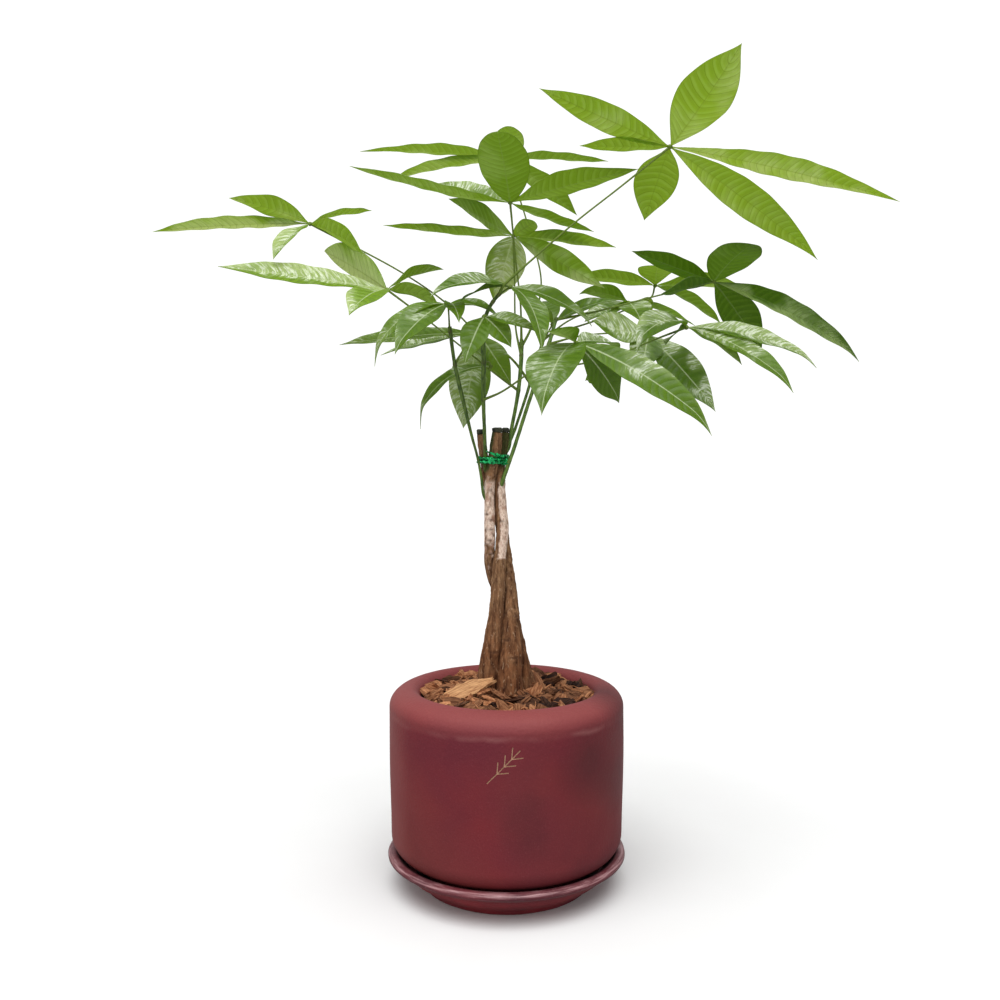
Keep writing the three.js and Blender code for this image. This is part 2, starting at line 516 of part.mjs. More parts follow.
// Every leaf: the shoot that it grows on, its stalk's points from the shoot on, its hub, and its
// leaflets as [tip, width, height of the arch, the way its upper side faces].
const LEAVES = {
  leaf_top_right: {
    shoot: 'shoot_middle',
    stalk: [[-6, -44.6, 493], [-3, -47, 499], [6, -52, 507], [25, -58, 523], [56, -63, 549], [90, -67, 575]],
    hub: [129, -70, 606],
    leaflets: [
      [[170, -140, 662], 44, -4, BACK],
      [[25, -95, 644], 24, -1, BACK],
      [[58, -62, 609], 17, 0, TILTED_BACK],
      [[115, -20, 558], 36, 2, BACK],
      [[264, -10, 529], 29, 6, BACK],
      [[318, -50, 568], 25, 4, TILTED_BACK],
    ],
  },
  leaf_crown_front: {
    shoot: 'shoot_right',
    stalk: [[13, 18, 458], [12, 10, 492], [8, 0, 526]],
    hub: [3, -10, 575],
    leaflets: [
      [[-2, -103, 606], 40, 8, SKY, ROUND_OUTLINE],
      [[-130, -30, 601], 26, -4, SKY],
      [[105, -60, 591], 30, 2, TILTED_BACK],
      [[78, 40, 560], 20, -2, SKY],
      [[-69, 70, 610], 28, 0, [-0.3, -0.4, 0.87]],
    ],
  },
  leaf_crown_middle: {
    shoot: 'shoot_right',
    stalk: [[12.5, 16, 448], [8, 22, 472], [7, 22, 512]],
    hub: [6, 17, 552],
    leaflets: [
      [[-53, 60, 594], 32, 0, [0.2, 0.5, 0.85]],
      [[-105, -5, 557], 28, -2, SKY],
      [[30, -30, 558], 18, 4, SKY, ROUND_OUTLINE],
      [[98, 40, 546], 24, 2, [0, 0.3, 0.95]],
      [[85, 14, 506], 32, 1, [0.2, 0.75, 0.63]],
      [[-11, 40, 501], 30, 3, FRONT],
    ],
  },
  leaf_crown_back: {
    shoot: 'shoot_right',
    stalk: [[13, 17.5, 455], [22, 28, 474], [31, 42, 514], [22, 58, 560], [10, 68, 602]],
    hub: [-1, 75, 635],
    leaflets: [
      [[-134, 60, 637], 26, 3, SKY],
      [[-110, 110, 624], 28, 3, SKY],
      [[4, 0, 637], 30, 5, [0.1, -0.7, 0.7], ROUND_OUTLINE],
      [[93, 60, 628], 24, 1, SKY],
      [[70, 140, 595], 26, 3, [0.2, 0.5, 0.85]],
    ],
  },
  leaf_left_far: {
    shoot: 'shoot_back',
    stalk: [[20.7, 27.5, 424], [5, 28, 445], [-29, 24, 471], [-52, 20, 493], [-90, 15, 519]],
    hub: [-170, 10, 561],
    leaflets: [
      [[-235, -10, 579], 28, 3, TILTED_BACK],
      [[-313, 30, 558], 24, 3, SKY],
      [[-190, -45, 522], 24, 4, [-0.3, -0.5, 0.8]],
      [[-123, 60, 583], 16, 3, SKY],
      [[-119, -25, 529], 30, 4, [0.3, 0.5, 0.8]],
    ],
  },
  leaf_left_mid: {
    shoot: 'shoot_right',
    stalk: [[10, 11.5, 417], [-12, 6, 433], [-35, 0, 451], [-66, -10, 475]],
    hub: [-100, -20, 500],
    leaflets: [
      [[-232, -55, 514], 30, 1, [0, -0.65, 0.76]],
      [[-161, 30, 541], 40, 2, [0.3, 0.5, 0.8]],
      [[-55, 20, 524], 24, 4, TILTED_BACK],
      [[-57, -16, 489], 22, 4, TILTED_BACK],
      [[-124, -75, 474], 32, 5, TILTED_FRONT],
    ],
  },
  leaf_left_tip: {
    shoot: 'shoot_left',
    stalk: [[-47, -32, 464], [-47.5, -34, 476]],
    hub: [-48, -36, 486],
    leaflets: [
      [[-108, -60, 442], 17, 14, TILTED_FRONT],
      [[-87, -88, 444], 30, 7, TILTED_FRONT],
      [[-4, -12, 477], 22, 5, TILTED_FRONT],
      [[-37, -76, 468], 16, 5, SKY],
    ],
  },
  leaf_left_low: {
    shoot: 'shoot_left',
    stalk: [[-43, -26, 437], [-38, -12, 448], [-31, 6, 461]],
    hub: [-25, 20, 467],
    leaflets: [
      [[-144, 6, 456], 26, 3, TILTED_FRONT],
      [[-115, 60, 451], 26, 3, TILTED_FRONT],
      [[-38, 20, 384], 36, 3, FRONT],
      [[4, 21, 423], 22, 3, FRONT],
    ],
  },
  leaf_low_curled: {
    shoot: 'shoot_middle',
    stalk: [[-19, -28, 439], [-15, -15, 440]],
    hub: [-13.5, -1, 437],
    leaflets: [
      [[-77, 4, 393], 18, 15, TILTED_FRONT],
    ],
  },
  leaf_low_centre: {
    shoot: 'shoot_middle',
    stalk: [[-18.6, -36, 471], [-17, -44, 476]],
    hub: [-18, -52, 474],
    leaflets: [
      [[26, -65, 460], 20, 3, TILTED_FRONT],
      [[4, -62, 449], 18, 4, FRONT],
      [[-33, -75, 436], 22, 5, FRONT],
    ],
  },
  leaf_top_centre: {
    shoot: 'shoot_middle',
    stalk: [[-11, -42.5, 487], [-4, -38, 495]],
    hub: [3, -37, 500],
    leaflets: [
      [[71, -36, 470], 26, 6, TILTED_FRONT],
      [[27, -104, 446], 27, 9, [0.5, -0.7, 0.5]],
      [[-61, -74, 490], 26, 7, TILTED_FRONT],
      [[-38, -56, 486], 18, 4, SKY],
    ],
  },
  leaf_right_small: {
    shoot: 'shoot_back',
    stalk: [[32, 44, 460], [37, 42, 470]],
    hub: [41, 38, 477],
    leaflets: [
      [[96, 20, 497], 22, 4, SKY],
      [[31, 96, 505], 24, 5, SKY],
      [[22, 8, 490], 14, 3, SKY],
    ],
  },
  leaf_right_far: {
    shoot: 'shoot_far_right',
    stalk: [[43.5, 27.5, 480], [74, 28, 486], [105, 28, 494], [140, 28, 503]],
    hub: [183, 30, 514],
    leaflets: [
      [[204, -30, 537], 42, 4, TILTED_BACK, ROUND_OUTLINE],
      [[109, 18, 539], 26, 0, TILTED_BACK],
      [[132, 2, 499], 27, 0, TILTED_BACK],
      [[303, 0, 445], 32, 8, [0, 0.4, 0.92]],
      [[231, 50, 454], 34, 4, [0.3, 0.8, 0.5]],
    ],
  },
  leaf_right_back: {
    shoot: 'shoot_far_right',
    stalk: [[40, 24, 467], [70, 36, 477], [100, 46, 488], [130, 60, 502]],
    hub: [139, 85, 518],
    leaflets: [
      [[136, 44, 531], 34, 4, [0, 0.4, 0.92], ROUND_OUTLINE],
      [[62, 84, 526], 24, 3, TILTED_BACK],
      [[231, 120, 521], 26, 4, TILTED_BACK],
      [[203, 95, 484], 28, 4, SKY],
    ],
  },
  leaf_right_long: {
    shoot: 'shoot_far_right',
    stalk: [[29, 14, 434], [50, 0, 437], [71, -14, 440], [95, -30, 446], [122, -38, 457]],
    hub: [148, -35, 467],
    leaflets: [
      [[249, -60, 436], 27, 8, TILTED_FRONT],
      [[222, -90, 415], 26, 8, TILTED_FRONT],
      [[197, -20, 438], 24, 4, SKY],
      [[100, -75, 450], 34, 12, TILTED_FRONT],
      [[128, -52, 451], 18, 2, TILTED_BACK],
    ],
  },
  leaf_right_front: {
    shoot: 'shoot_middle',
    stalk: [[-19.4, -19, 408], [-4, -38, 414], [15, -62, 426], [36, -92, 440]],
    hub: [52, -110, 448],
    leaflets: [
      [[23, -190, 397], 42, 9, SKY],
      [[148, -150, 384], 27, 10, [-0.2, -0.7, 0.68]],
      [[63, -62, 424], 34, 6, FRONT],
      [[88, -80, 405], 30, 5, FRONT],
      [[27, -150, 452], 26, 4, SKY],
      [[89, -72, 446], 28, 4, TILTED_FRONT],
    ],
  },
  leaf_right_low: {
    shoot: 'shoot_far_right',
    stalk: [[37, 21, 458], [62, 14, 464], [92, 4, 466]],
    hub: [121, -2, 464],
    leaflets: [
      [[71, -24, 474], 34, -3, [0, -0.8, 0.6]],
      [[112, -26, 432], 28, 3, FRONT],
      [[170, -46, 399], 30, 5, [-0.3, -0.75, 0.6]],
    ],
  },
  leaf_right_behind: {
    shoot: 'shoot_back',
    stalk: [[34.5, 46.5, 465], [56, 58, 482], [84, 64, 494]],
    hub: [112, 68, 500],
    leaflets: [
      [[66, 66, 509], 24, 5, TILTED_BACK],
      [[88, 50, 484], 22, 4, SKY],
      [[140, 122, 495], 24, 5, SKY],
    ],
  },
};

// A leaf is cut where its stalk meets the shoot.
function makeLeaf({ shoot: carrier, stalk, hub, leaflets }) {
  const knuckle = new THREE.IcosahedronGeometry(HUB_RADIUS).translate(...hub);
  const steps = Math.round(stalk.length * STALK_STEPS_PER_POINT);
  const parts = [
    taperedTube([...stalk, hub], STALK_RADII, STALK_SIDES, steps),
    solid(knuckle),
    ...leaflets.map((row, i) => leaflet(hub, row, i * WAVE_SHIFT)),
  ];
  return largestBody(join(parts).subtract(shoot(carrier, GAP)));
}

// The whole plant

const plant = new THREE.Group();
plant.add(piece('pot', makePot(), CLAY));
plant.add(piece('saucer', makeSaucer(), CLAY));
plant.add(piece('soil', makeSoil(), SOIL));
plant.add(piece('bark_chips', makeBark(), BARK_CHIPS));
plant.add(piece('trunk_front', trunkFront, TRUNK_BARK));
plant.add(piece('trunk_middle', trunkMiddle, TRUNK_BARK));
plant.add(piece('trunk_rear', trunkRear, TRUNK_BARK));
plant.add(piece('cap_front', waxCap('trunk_front'), WAX));
plant.add(piece('cap_middle', waxCap('trunk_middle'), WAX));
plant.add(piece('cap_rear', waxCap('trunk_rear'), WAX));
plant.add(piece('tie', makeTie(), TINSEL));
for (const name of Object.keys(SHOOTS)) plant.add(piece(name, makeShoot(name), GREEN_SHOOT));
for (const [name, leaf] of Object.entries(LEAVES)) plant.add(piece(name, makeLeaf(leaf), LEAF));

export default plant;
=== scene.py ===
# %% [markdown]
# # A potted money tree
#
# Three young trunks are wound round each other, cut off at the top and sealed with wax. Five
# green shoots grow out of them and carry leaves like open hands. A round clay pot with a saucer
# holds the plant. The construction model already has every piece at its real size, so this
# lesson builds the finer surface of each piece round it, and then its colour and its gloss.

import math

import bpy
import numpy as np
from mathutils import Matrix, Vector, noise


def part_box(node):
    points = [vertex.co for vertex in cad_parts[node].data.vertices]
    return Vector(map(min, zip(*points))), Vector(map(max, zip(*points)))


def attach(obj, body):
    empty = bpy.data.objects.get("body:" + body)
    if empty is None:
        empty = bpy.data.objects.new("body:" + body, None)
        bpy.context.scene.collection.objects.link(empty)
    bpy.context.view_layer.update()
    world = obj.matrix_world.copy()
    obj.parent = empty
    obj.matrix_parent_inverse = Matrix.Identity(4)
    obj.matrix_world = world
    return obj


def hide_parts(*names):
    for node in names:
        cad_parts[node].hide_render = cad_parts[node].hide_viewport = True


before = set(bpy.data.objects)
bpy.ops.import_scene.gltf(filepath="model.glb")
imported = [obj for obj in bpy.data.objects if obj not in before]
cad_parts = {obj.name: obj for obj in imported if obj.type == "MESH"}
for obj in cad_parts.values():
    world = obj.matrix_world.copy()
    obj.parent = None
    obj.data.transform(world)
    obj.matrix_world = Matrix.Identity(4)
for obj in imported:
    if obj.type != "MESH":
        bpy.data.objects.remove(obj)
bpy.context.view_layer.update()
MM = 0.001
print("construction model:", len(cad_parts), "nodes")

# %% [markdown]
# Two habits make modelling by script safe. An operator works on whatever is selected, so each
# step starts with nothing selected. And a finished piece keeps its place in its mesh, with its
# object at the origin, so that patterns in its material stay where they are.

# %% Selecting, adding and joining objects
def select_only(*objects):
    """Makes these objects the only selected ones, and the first one the active one."""
    bpy.ops.object.select_all(action="DESELECT")
    for obj in objects:
        obj.select_set(True)
    bpy.context.view_layer.objects.active = objects[0]


def added(operator, **settings):
    """The object that an operator adds while nothing else is selected."""
    bpy.ops.object.select_all(action="DESELECT")
    operator(**settings)
    return bpy.context.object


def copied(obj):
    """A copy of an object, with its own mesh."""
    copy = obj.copy()
    copy.data = obj.data.copy()
    bpy.context.scene.collection.objects.link(copy)
    return copy


def apply_modifier(obj, kind, **settings):
    """Adds a modifier of this kind and makes its result the object's own mesh."""
    select_only(obj)
    modifier = obj.modifiers.new(kind.lower(), kind)
    for key, value in settings.items():
        setattr(modifier, key, value)
    bpy.ops.object.modifier_apply(modifier=modifier.name)


def join_pieces(name, objects):
    """Joins several objects into one, under a new name."""
    select_only(*objects)
    if len(objects) > 1:
        bpy.ops.object.join()
    joined = bpy.context.object
    joined.name = name
    joined.data.name = name
    return joined


# %% Closing, smoothing and fixing a piece
def close_mesh(obj, weld=1e-6):
    """Welds seams, fills open ends and turns every face outwards."""
    select_only(obj)
    bpy.ops.object.mode_set(mode="EDIT")
    bpy.ops.mesh.select_all(action="SELECT")
    bpy.ops.mesh.remove_doubles(threshold=weld)
    bpy.ops.mesh.fill_holes(sides=0)
    bpy.ops.mesh.select_all(action="SELECT")
    bpy.ops.mesh.normals_make_consistent(inside=False)
    bpy.ops.object.mode_set(mode="OBJECT")
    return obj


def smooth(obj, degrees=40):
    """Smooth shading, with edges sharper than this angle left crisp."""
    select_only(obj)
    bpy.ops.object.shade_smooth_by_angle(angle=math.radians(degrees))
    return obj


def stand_for(obj, slot, *nodes):
    """Fixes a finished piece to the model, in place of construction nodes."""
    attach(obj, "root")
    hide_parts(*nodes)
    print(obj.name, "faces", len(obj.data.polygons))


def dress(obj, material, crease, slot, node):
    """Gives a piece its material and its shading, and fixes it to the model."""
    obj.data.materials.append(material)
    smooth(obj, crease)
    stand_for(obj, slot, node)


# %% Reading and writing the points of a mesh
def read_points(obj):
    places = np.empty(len(obj.data.vertices) * 3)
    obj.data.vertices.foreach_get("co", places)
    return places.reshape(-1, 3)


def write_points(obj, places):
    obj.data.vertices.foreach_set("co", np.asarray(places, float).ravel())
    obj.data.update()


def mark_points(obj, name, values):
    """Stores one number for each point, which a material can read."""
    layer = obj.data.attributes.new(name, "FLOAT", "POINT")
    spread = np.zeros(len(obj.data.vertices)) + values
    layer.data.foreach_set("value", spread.astype(np.float32))


def lumps(places, size, seed):
    """Smooth noise between -1 and 1 at each place, with features of about this size."""
    shift = Vector((seed * 3.1, seed * 7.7, seed * 1.3))
    return np.array([noise.noise(Vector(place) / size + shift) for place in places])


# %% [markdown]
# The camera looks level at the plant from 0.9 metres, as the photograph does. Its picture is
# shifted instead of tilted, which keeps the pot's sides upright. The floor is pale, and a white
# surrounding with three wide soft lights leaves only a faint shadow round the saucer. What the
# camera sees of the floor and the surroundings is whiter than what they throw back at the plant,
# as in a studio where black cards stand outside the picture.

# %% Camera
EYE_DISTANCE = 0.9
EYE_HEIGHT = 0.381
LENS = 37.87
SHIFT_X = -0.0066
SHIFT_Y = -0.068

eye = (0, -EYE_DISTANCE, EYE_HEIGHT)
camera = added(bpy.ops.object.camera_add, location=eye, rotation=(math.pi / 2, 0, 0))
camera.data.lens = LENS
camera.data.shift_x = SHIFT_X
camera.data.shift_y = SHIFT_Y
bpy.context.scene.camera = camera
print("camera at", tuple(round(v, 3) for v in camera.location))

# %% Surroundings and lights
AMBIENT_LIGHT = 0.42
BACKDROP_LIGHT = 1.1

world = bpy.data.worlds.new("studio")
world.use_nodes = True
sky = world.node_tree.nodes["Background"]
seen = world.node_tree.nodes.new("ShaderNodeLightPath")
glow = world.node_tree.nodes.new("ShaderNodeMapRange")
glow.inputs["To Min"].default_value = AMBIENT_LIGHT
glow.inputs["To Max"].default_value = BACKDROP_LIGHT
world.node_tree.links.new(seen.outputs["Is Camera Ray"], glow.inputs["Value"])
world.node_tree.links.new(glow.outputs["Result"], sky.inputs["Strength"])
sky.inputs["Color"].default_value = (1, 1, 1, 1)
bpy.context.scene.world = world
bpy.context.scene.view_settings.view_transform = "Standard"


def soft_sun(name, comes_from, softness, strength):
    """An even light from one direction, as wide as a softbox of this many degrees."""
    aim = (-Vector(comes_from)).to_track_quat("-Z", "Y").to_euler()
    lamp = added(bpy.ops.object.light_add, type="SUN", location=comes_from, rotation=aim)
    lamp.name = name
    lamp.data.angle = math.radians(softness)
    lamp.data.energy = strength


soft_sun("light_overhead", (0.0, -0.36, 1.0), 60, 2.9)
soft_sun("light_front_left", (-0.4, -1.0, 0.3), 110, 1.1)
soft_sun("light_from_behind", (0.0, 1.0, 1.2), 90, 0.22)

# %% Floor
FLOOR_SIZE = 14

floor = added(bpy.ops.mesh.primitive_plane_add, size=FLOOR_SIZE)
floor.name = "floor"


# %% [markdown]
# A material is a small network. These helpers add a node and join it to others in one line, so
# that each network below reads from top to bottom like a recipe.

# %% Helpers for material networks
class Network:
    """A node tree with short ways to add nodes, and to feed the shader of a material."""

    def __init__(self, tree):
        self.tree = tree
        self.shader = tree.nodes.get("Principled BSDF")

    def add(self, kind, inputs=None, **settings):
        made = self.tree.nodes.new(kind)
        for key, value in settings.items():
            setattr(made, key, value)
        for key, value in (inputs or {}).items():
            self.feed(value, made.inputs[key])
        return made

    def feed(self, value, socket):
        if isinstance(value, bpy.types.NodeSocket):
            self.tree.links.new(value, socket)
        else:
            socket.default_value = value

    def paint(self, colour):
        self.feed(colour, self.shader.inputs["Base Color"])

    def roughen(self, roughness):
        self.feed(roughness, self.shader.inputs["Roughness"])

    def math(self, operation, *values, clamp=False):
        inputs = dict(enumerate(values))
        return self.add("ShaderNodeMath", inputs, operation=operation, use_clamp=clamp).outputs[0]

    def times(self, value, factor):
        return self.math("MULTIPLY", value, factor)

    def vector_math(self, operation, *values):
        made = self.add("ShaderNodeVectorMath", dict(enumerate(values)), operation=operation)
        return made.outputs["Value"]

    def attribute(self, name):
        return self.add("ShaderNodeAttribute", attribute_name=name).outputs["Fac"]

    def mix(self, share, low, high):
        made = self.add("ShaderNodeMix", data_type="RGBA")
        self.feed(share, made.inputs["Factor"])
        self.feed(low, made.inputs["A"])
        self.feed(high, made.inputs["B"])
        return made.outputs["Result"]

    def spread(self, value, low, high, to_low=0.0, to_high=1.0):
        """Maps a range of values onto another range, and stops at its ends."""
        inputs = {"Value": value, "From Min": low, "From Max": high}
        inputs.update({"To Min": to_low, "To Max": to_high})
        return self.add("ShaderNodeMapRange", inputs).outputs["Result"]

    def noise(self, place, scale, detail=3.0, roughness=0.5):
        inputs = {"Vector": place, "Scale": scale, "Detail": detail, "Roughness": roughness}
        return self.add("ShaderNodeTexNoise", inputs).outputs["Fac"]

    def parts(self, place):
        return self.add("ShaderNodeSeparateXYZ", {"Vector": place}).outputs

    def joined(self, x, y, z):
        return self.add("ShaderNodeCombineXYZ", {"X": x, "Y": y, "Z": z}).outputs["Vector"]

    def stretched(self, place, scale):
        return self.add("ShaderNodeMapping", {"Vector": place, "Scale": scale}).outputs["Vector"]

    def raise_surface(self, height, strength, distance):
        """Bends the light as bumps of this distance would, without moving the mesh."""
        inputs = {"Height": height, "Strength": strength, "Distance": distance}
        self.feed(self.add("ShaderNodeBump", inputs).outputs["Normal"], self.shader.inputs["Normal"])

    def let_light_through(self, colour, share):
        """Mixes a translucent shader in, as thin things in strong light need it."""
        through = self.add("ShaderNodeBsdfTranslucent", {"Color": colour}).outputs["BSDF"]
        both = self.add("ShaderNodeMixShader", {0: share, 1: self.shader.outputs["BSDF"], 2: through})
        self.feed(both.outputs["Shader"], self.tree.nodes["Material Output"].inputs["Surface"])


# %% New materials and shader node groups
def new_material(name, **fixed):
    """A material with a Principled shader, whose fixed values are set on its own sockets."""
    material = bpy.data.materials.new(name)
    material.use_nodes = True
    net = Network(material.node_tree)
    for key, value in fixed.items():
        net.shader.inputs[key.replace("_", " ")].default_value = value
    place = net.add("ShaderNodeTexCoord").outputs["Object"]
    return material, net, place


def new_group(name, inputs, outputs):
    """An empty shader node group with these sockets, all numbers but for the place."""
    group = bpy.data.node_groups.new(name, "ShaderNodeTree")
    for way, sockets in (("INPUT", inputs), ("OUTPUT", outputs)):
        for socket in sockets:
            kind = "NodeSocketVector" if socket == "Place" else "NodeSocketFloat"
            group.interface.new_socket(socket, in_out=way, socket_type=kind)
    inside = Network(group)
    start = inside.add("NodeGroupInput").outputs
    end = inside.add("NodeGroupOutput").inputs
    return group, inside, start, end


# %% Floor finish
FLOOR_SEEN = 0.78
FLOOR_BOUNCE = 0.34

floor_paint, net, place = new_material("pale_floor", Roughness=0.9, Specular_IOR_Level=0.1)
mottle = net.spread(net.noise(place, 6.0), 0.3, 0.7, 0.97, 1.0)
path = net.add("ShaderNodeLightPath").outputs["Is Camera Ray"]
shade = net.times(mottle, net.spread(path, 0, 1, FLOOR_BOUNCE, FLOOR_SEEN))
net.paint(shade)
floor.data.materials.append(floor_paint)

# %% [markdown]
# The pot and the saucer are thrown on a wheel, so each is one outline turned round the upright
# axis. The outline starts as a single point that is extruded from place to place, and Spin turns
# it round. The potter's hand is in small dents, which are pushed in and never out, so the pot
# keeps its size.

# %% Turning an outline round the axis
TURN_STEPS = 120


def arc(centre, width, height, start, end, steps):
    """Points on part of an ellipse in the outline's plane, angles in degrees."""
    points = []
    for i in range(steps + 1):
        angle = math.radians(start + (end - start) * i / steps)
        points.append((centre[0] + width * math.cos(angle), centre[1] + height * math.sin(angle)))
    return points


def thrown(name, outline):
    """Extrudes a point along an outline of (radius, height) in millimetres and spins it round."""
    obj = added(bpy.ops.mesh.primitive_plane_add, size=MM)
    obj.name = name
    places = [Vector((radius * MM, 0, height * MM)) for radius, height in outline]
    bpy.ops.object.mode_set(mode="EDIT")
    bpy.ops.mesh.merge(type="CENTER")
    bpy.ops.transform.translate(value=places[0])
    for here, there in zip(places, places[1:]):
        bpy.ops.mesh.extrude_region_move(TRANSFORM_OT_translate={"value": there - here})
    bpy.ops.mesh.select_all(action="SELECT")
    bpy.ops.mesh.spin(steps=TURN_STEPS, angle=2 * math.pi, center=(0, 0, 0), axis=(0, 0, 1))
    bpy.ops.object.mode_set(mode="OBJECT")
    return close_mesh(obj, weld=0.02 * MM)


def hand_dents(obj, depth, size, seed):
    """Pushes the surface in towards the axis by smooth, shallow dents."""
    places = read_points(obj)
    push = 0.5 * (1 - lumps(places, size, seed)) * depth
    radius = np.hypot(places[:, 0], places[:, 1])
    keep = 1 - push / np.maximum(radius, 20 * MM)
    places[:, :2] *= keep[:, None]
    write_points(obj, places)


# %% The pot's body
SAUCER_FLOOR = 10
GAP = 0.3
RIM_TOP = 164.5
SHOULDER_AT = 149.5
MOUTH_RADIUS = 74

pot_outline = [
    (0, SAUCER_FLOOR + GAP), (70, SAUCER_FLOOR + GAP), (72, 13.3), (72, 25),
    *arc((79, 43), 19, 18, -90, 0, 12),
    (98.4, 60), (98.9, 76), (99.4, 92), (99.8, 108), (100, 122), (100, 136),
    *arc((80, SHOULDER_AT), 20, RIM_TOP - SHOULDER_AT, 0, 80, 14),
    *arc((83, 155.5), 9, 9, 100, 180, 9),
    (74, 149.5), (80, 143.5), (86, 137.5), (86, 100), (86, 44), (80, 31), (64, 22.3), (0, 22.3),
]
clay_pot = thrown("clay_pot", pot_outline)
hand_dents(clay_pot, depth=0.7 * MM, size=45 * MM, seed=1)
print("pot", [round(v / MM) for v in clay_pot.dimensions], "mm")

# %% [markdown]
# The clay's colours come from noise. Pot and saucer share one shader node group for broad clouds
# and fine speckles. The pot's glaze then lays colours over each other, each with its own mask:
# patches, smoke, a painted highlight on the rim top, spots of painted shade on the right side, a
# painted highlight line round the shoulder and a painted lit strip down the left edge.

# %% Speckles and clouds
def speckle_group():
    """A shader node group: fine speckles and broad clouds, both from the same place."""
    inputs = ("Place", "Cloud scale", "Speckle scale")
    group, inside, start, end = new_group("Speckles and clouds", inputs, ("Clouds", "Speckles"))
    clouds = inside.noise(start["Place"], start["Cloud scale"], 2.5, 0.55)
    fine = inside.noise(start["Place"], start["Speckle scale"], 2.0, 0.7)
    inside.feed(inside.spread(clouds, 0.36, 0.64), end["Clouds"])
    inside.feed(inside.spread(fine, 0.56, 0.72), end["Speckles"])
    return group


SPECKLES = speckle_group()


def speckles(net, place, cloud_scale, speckle_scale):
    inputs = {"Place": place, "Cloud scale": cloud_scale, "Speckle scale": speckle_scale}
    made = net.add("ShaderNodeGroup", inputs, node_tree=SPECKLES)
    return made.outputs["Clouds"], made.outputs["Speckles"]


# %% The pot's glaze
MAROON = (0.178, 0.018, 0.025, 1)
PLUM = (0.132, 0.0145, 0.0265, 1)
RUSSET = (0.185, 0.032, 0.029, 1)
# Dark for the smoke patches and for the spots of painted shade.
SMOKE_AND_PAINTED_SHADE = (0.062, 0.015, 0.018, 1)
# Rose of the painted highlight on the rim top and of the painted lit strip on the left edge.
PAINTED_LIGHT_ROSE = (0.27, 0.062, 0.06, 1)
# Pale rose for the speckles, and for the painted highlight line at the shoulder.
ROSE_SPECKS_AND_HIGHLIGHT = (0.33, 0.13, 0.125, 1)
EDGE_HEIGHT = 149
# Spots of painted shade on the right side of the pot: place, reach and depth.
PAINTED_SHADE_SPOTS = (
    ((66, -75, 122), 34, 0.62), ((17, -98, 68), 22, 0.38),
    ((90, -42, 100), 30, 0.45), ((80, -22, 161), 40, 0.78),
)

pot_glaze, net, place = new_material("pot_glaze", Specular_IOR_Level=0.22)
clouds, dots = speckles(net, place, 14.0, 900.0)
patches = net.noise(net.stretched(place, (1, 1, 0.8)), 9.0, 2.0)
patches = net.spread(patches, 0.42, 0.6, 0.1, 0.4)
smoke = net.spread(net.noise(place, 17.0, 3.0), 0.55, 0.76, 0, 0.4)
rightwards = net.parts(place)["X"]
height = net.parts(place)["Z"]
# The rim top is painted lighter, as a painted highlight where the light from above falls.
painted_rim_light = net.spread(height, 143 * MM, 159 * MM)
# A painted highlight line where the shoulder meets the wall, wobbly and broken.
wobble = net.times(net.noise(place, 60.0, 2.0), 5 * MM)
from_edge = net.math("SUBTRACT", net.math("ADD", height, wobble), EDGE_HEIGHT * MM)
painted_highlight_line = net.spread(net.math("ABSOLUTE", from_edge), 0, 3.2 * MM, 1, 0)
broken = net.spread(net.noise(place, 30.0, 2.0), 0.42, 0.62, 0.04, 0.4)
painted_highlight_line = net.times(painted_highlight_line, broken)
low_left = net.spread(net.math("ADD", rightwards, height), 70 * MM, -30 * MM, 0, 0.8)
# A painted lit strip down the left edge, on the side the light comes from.
painted_lit_left_edge = net.spread(rightwards, -78 * MM, -99 * MM, 0, 0.85)
colour = net.mix(clouds, MAROON, PLUM)
colour = net.mix(net.math("MAXIMUM", patches, low_left), colour, RUSSET)
colour = net.mix(smoke, colour, SMOKE_AND_PAINTED_SHADE)
# Painted highlight on the rim top.
colour = net.mix(net.times(painted_rim_light, 0.75), colour, PAINTED_LIGHT_ROSE)
# Painted shade darkens the right side of the pot at these spots.
for spot, reach, depth in PAINTED_SHADE_SPOTS:
    away = net.vector_math("DISTANCE", place, Vector(spot) * MM)
    away = net.math("ADD", away, net.times(clouds, 0.4 * reach * MM))
    painted_shade_spot = net.spread(away, 0.3 * reach * MM, 1.3 * reach * MM, depth, 0)
    colour = net.mix(painted_shade_spot, colour, SMOKE_AND_PAINTED_SHADE)
colour = net.mix(painted_highlight_line, colour, ROSE_SPECKS_AND_HIGHLIGHT)
colour = net.mix(painted_lit_left_edge, colour, PAINTED_LIGHT_ROSE)
colour = net.mix(net.times(dots, 0.1), colour, ROSE_SPECKS_AND_HIGHLIGHT)
net.paint(colour)
net.roughen(net.spread(clouds, 0, 1, 0.5, 0.66))
rougher_above = net.spread(height, 120 * MM, 150 * MM, 0.5, 1.6)
pimples = net.times(net.noise(place, 330.0, 3.0, 0.6), rougher_above)
net.raise_surface(pimples, 0.4, 0.9 * MM)

# %% [markdown]
# On its front the pot carries a small sprig, scratched through the glaze down to the tan clay. A
# scratch is a real groove here: thin bars are laid across the wall, and a Boolean modifier cuts
# them out of the pot. The cut faces take the material of the bars.

# %% The clay under the glaze
scratched_clay, net, place = new_material("scratched_clay", Roughness=0.85)
grain = net.noise(place, 1500.0)
net.paint(net.mix(grain, (0.62, 0.42, 0.27, 1), (0.36, 0.19, 0.12, 1)))

# %% Scratches across the front
FRONT_RADIUS = 99.4
SPRIG_DEPTH = 0.35
SCRATCH_WIDTH = 0.8


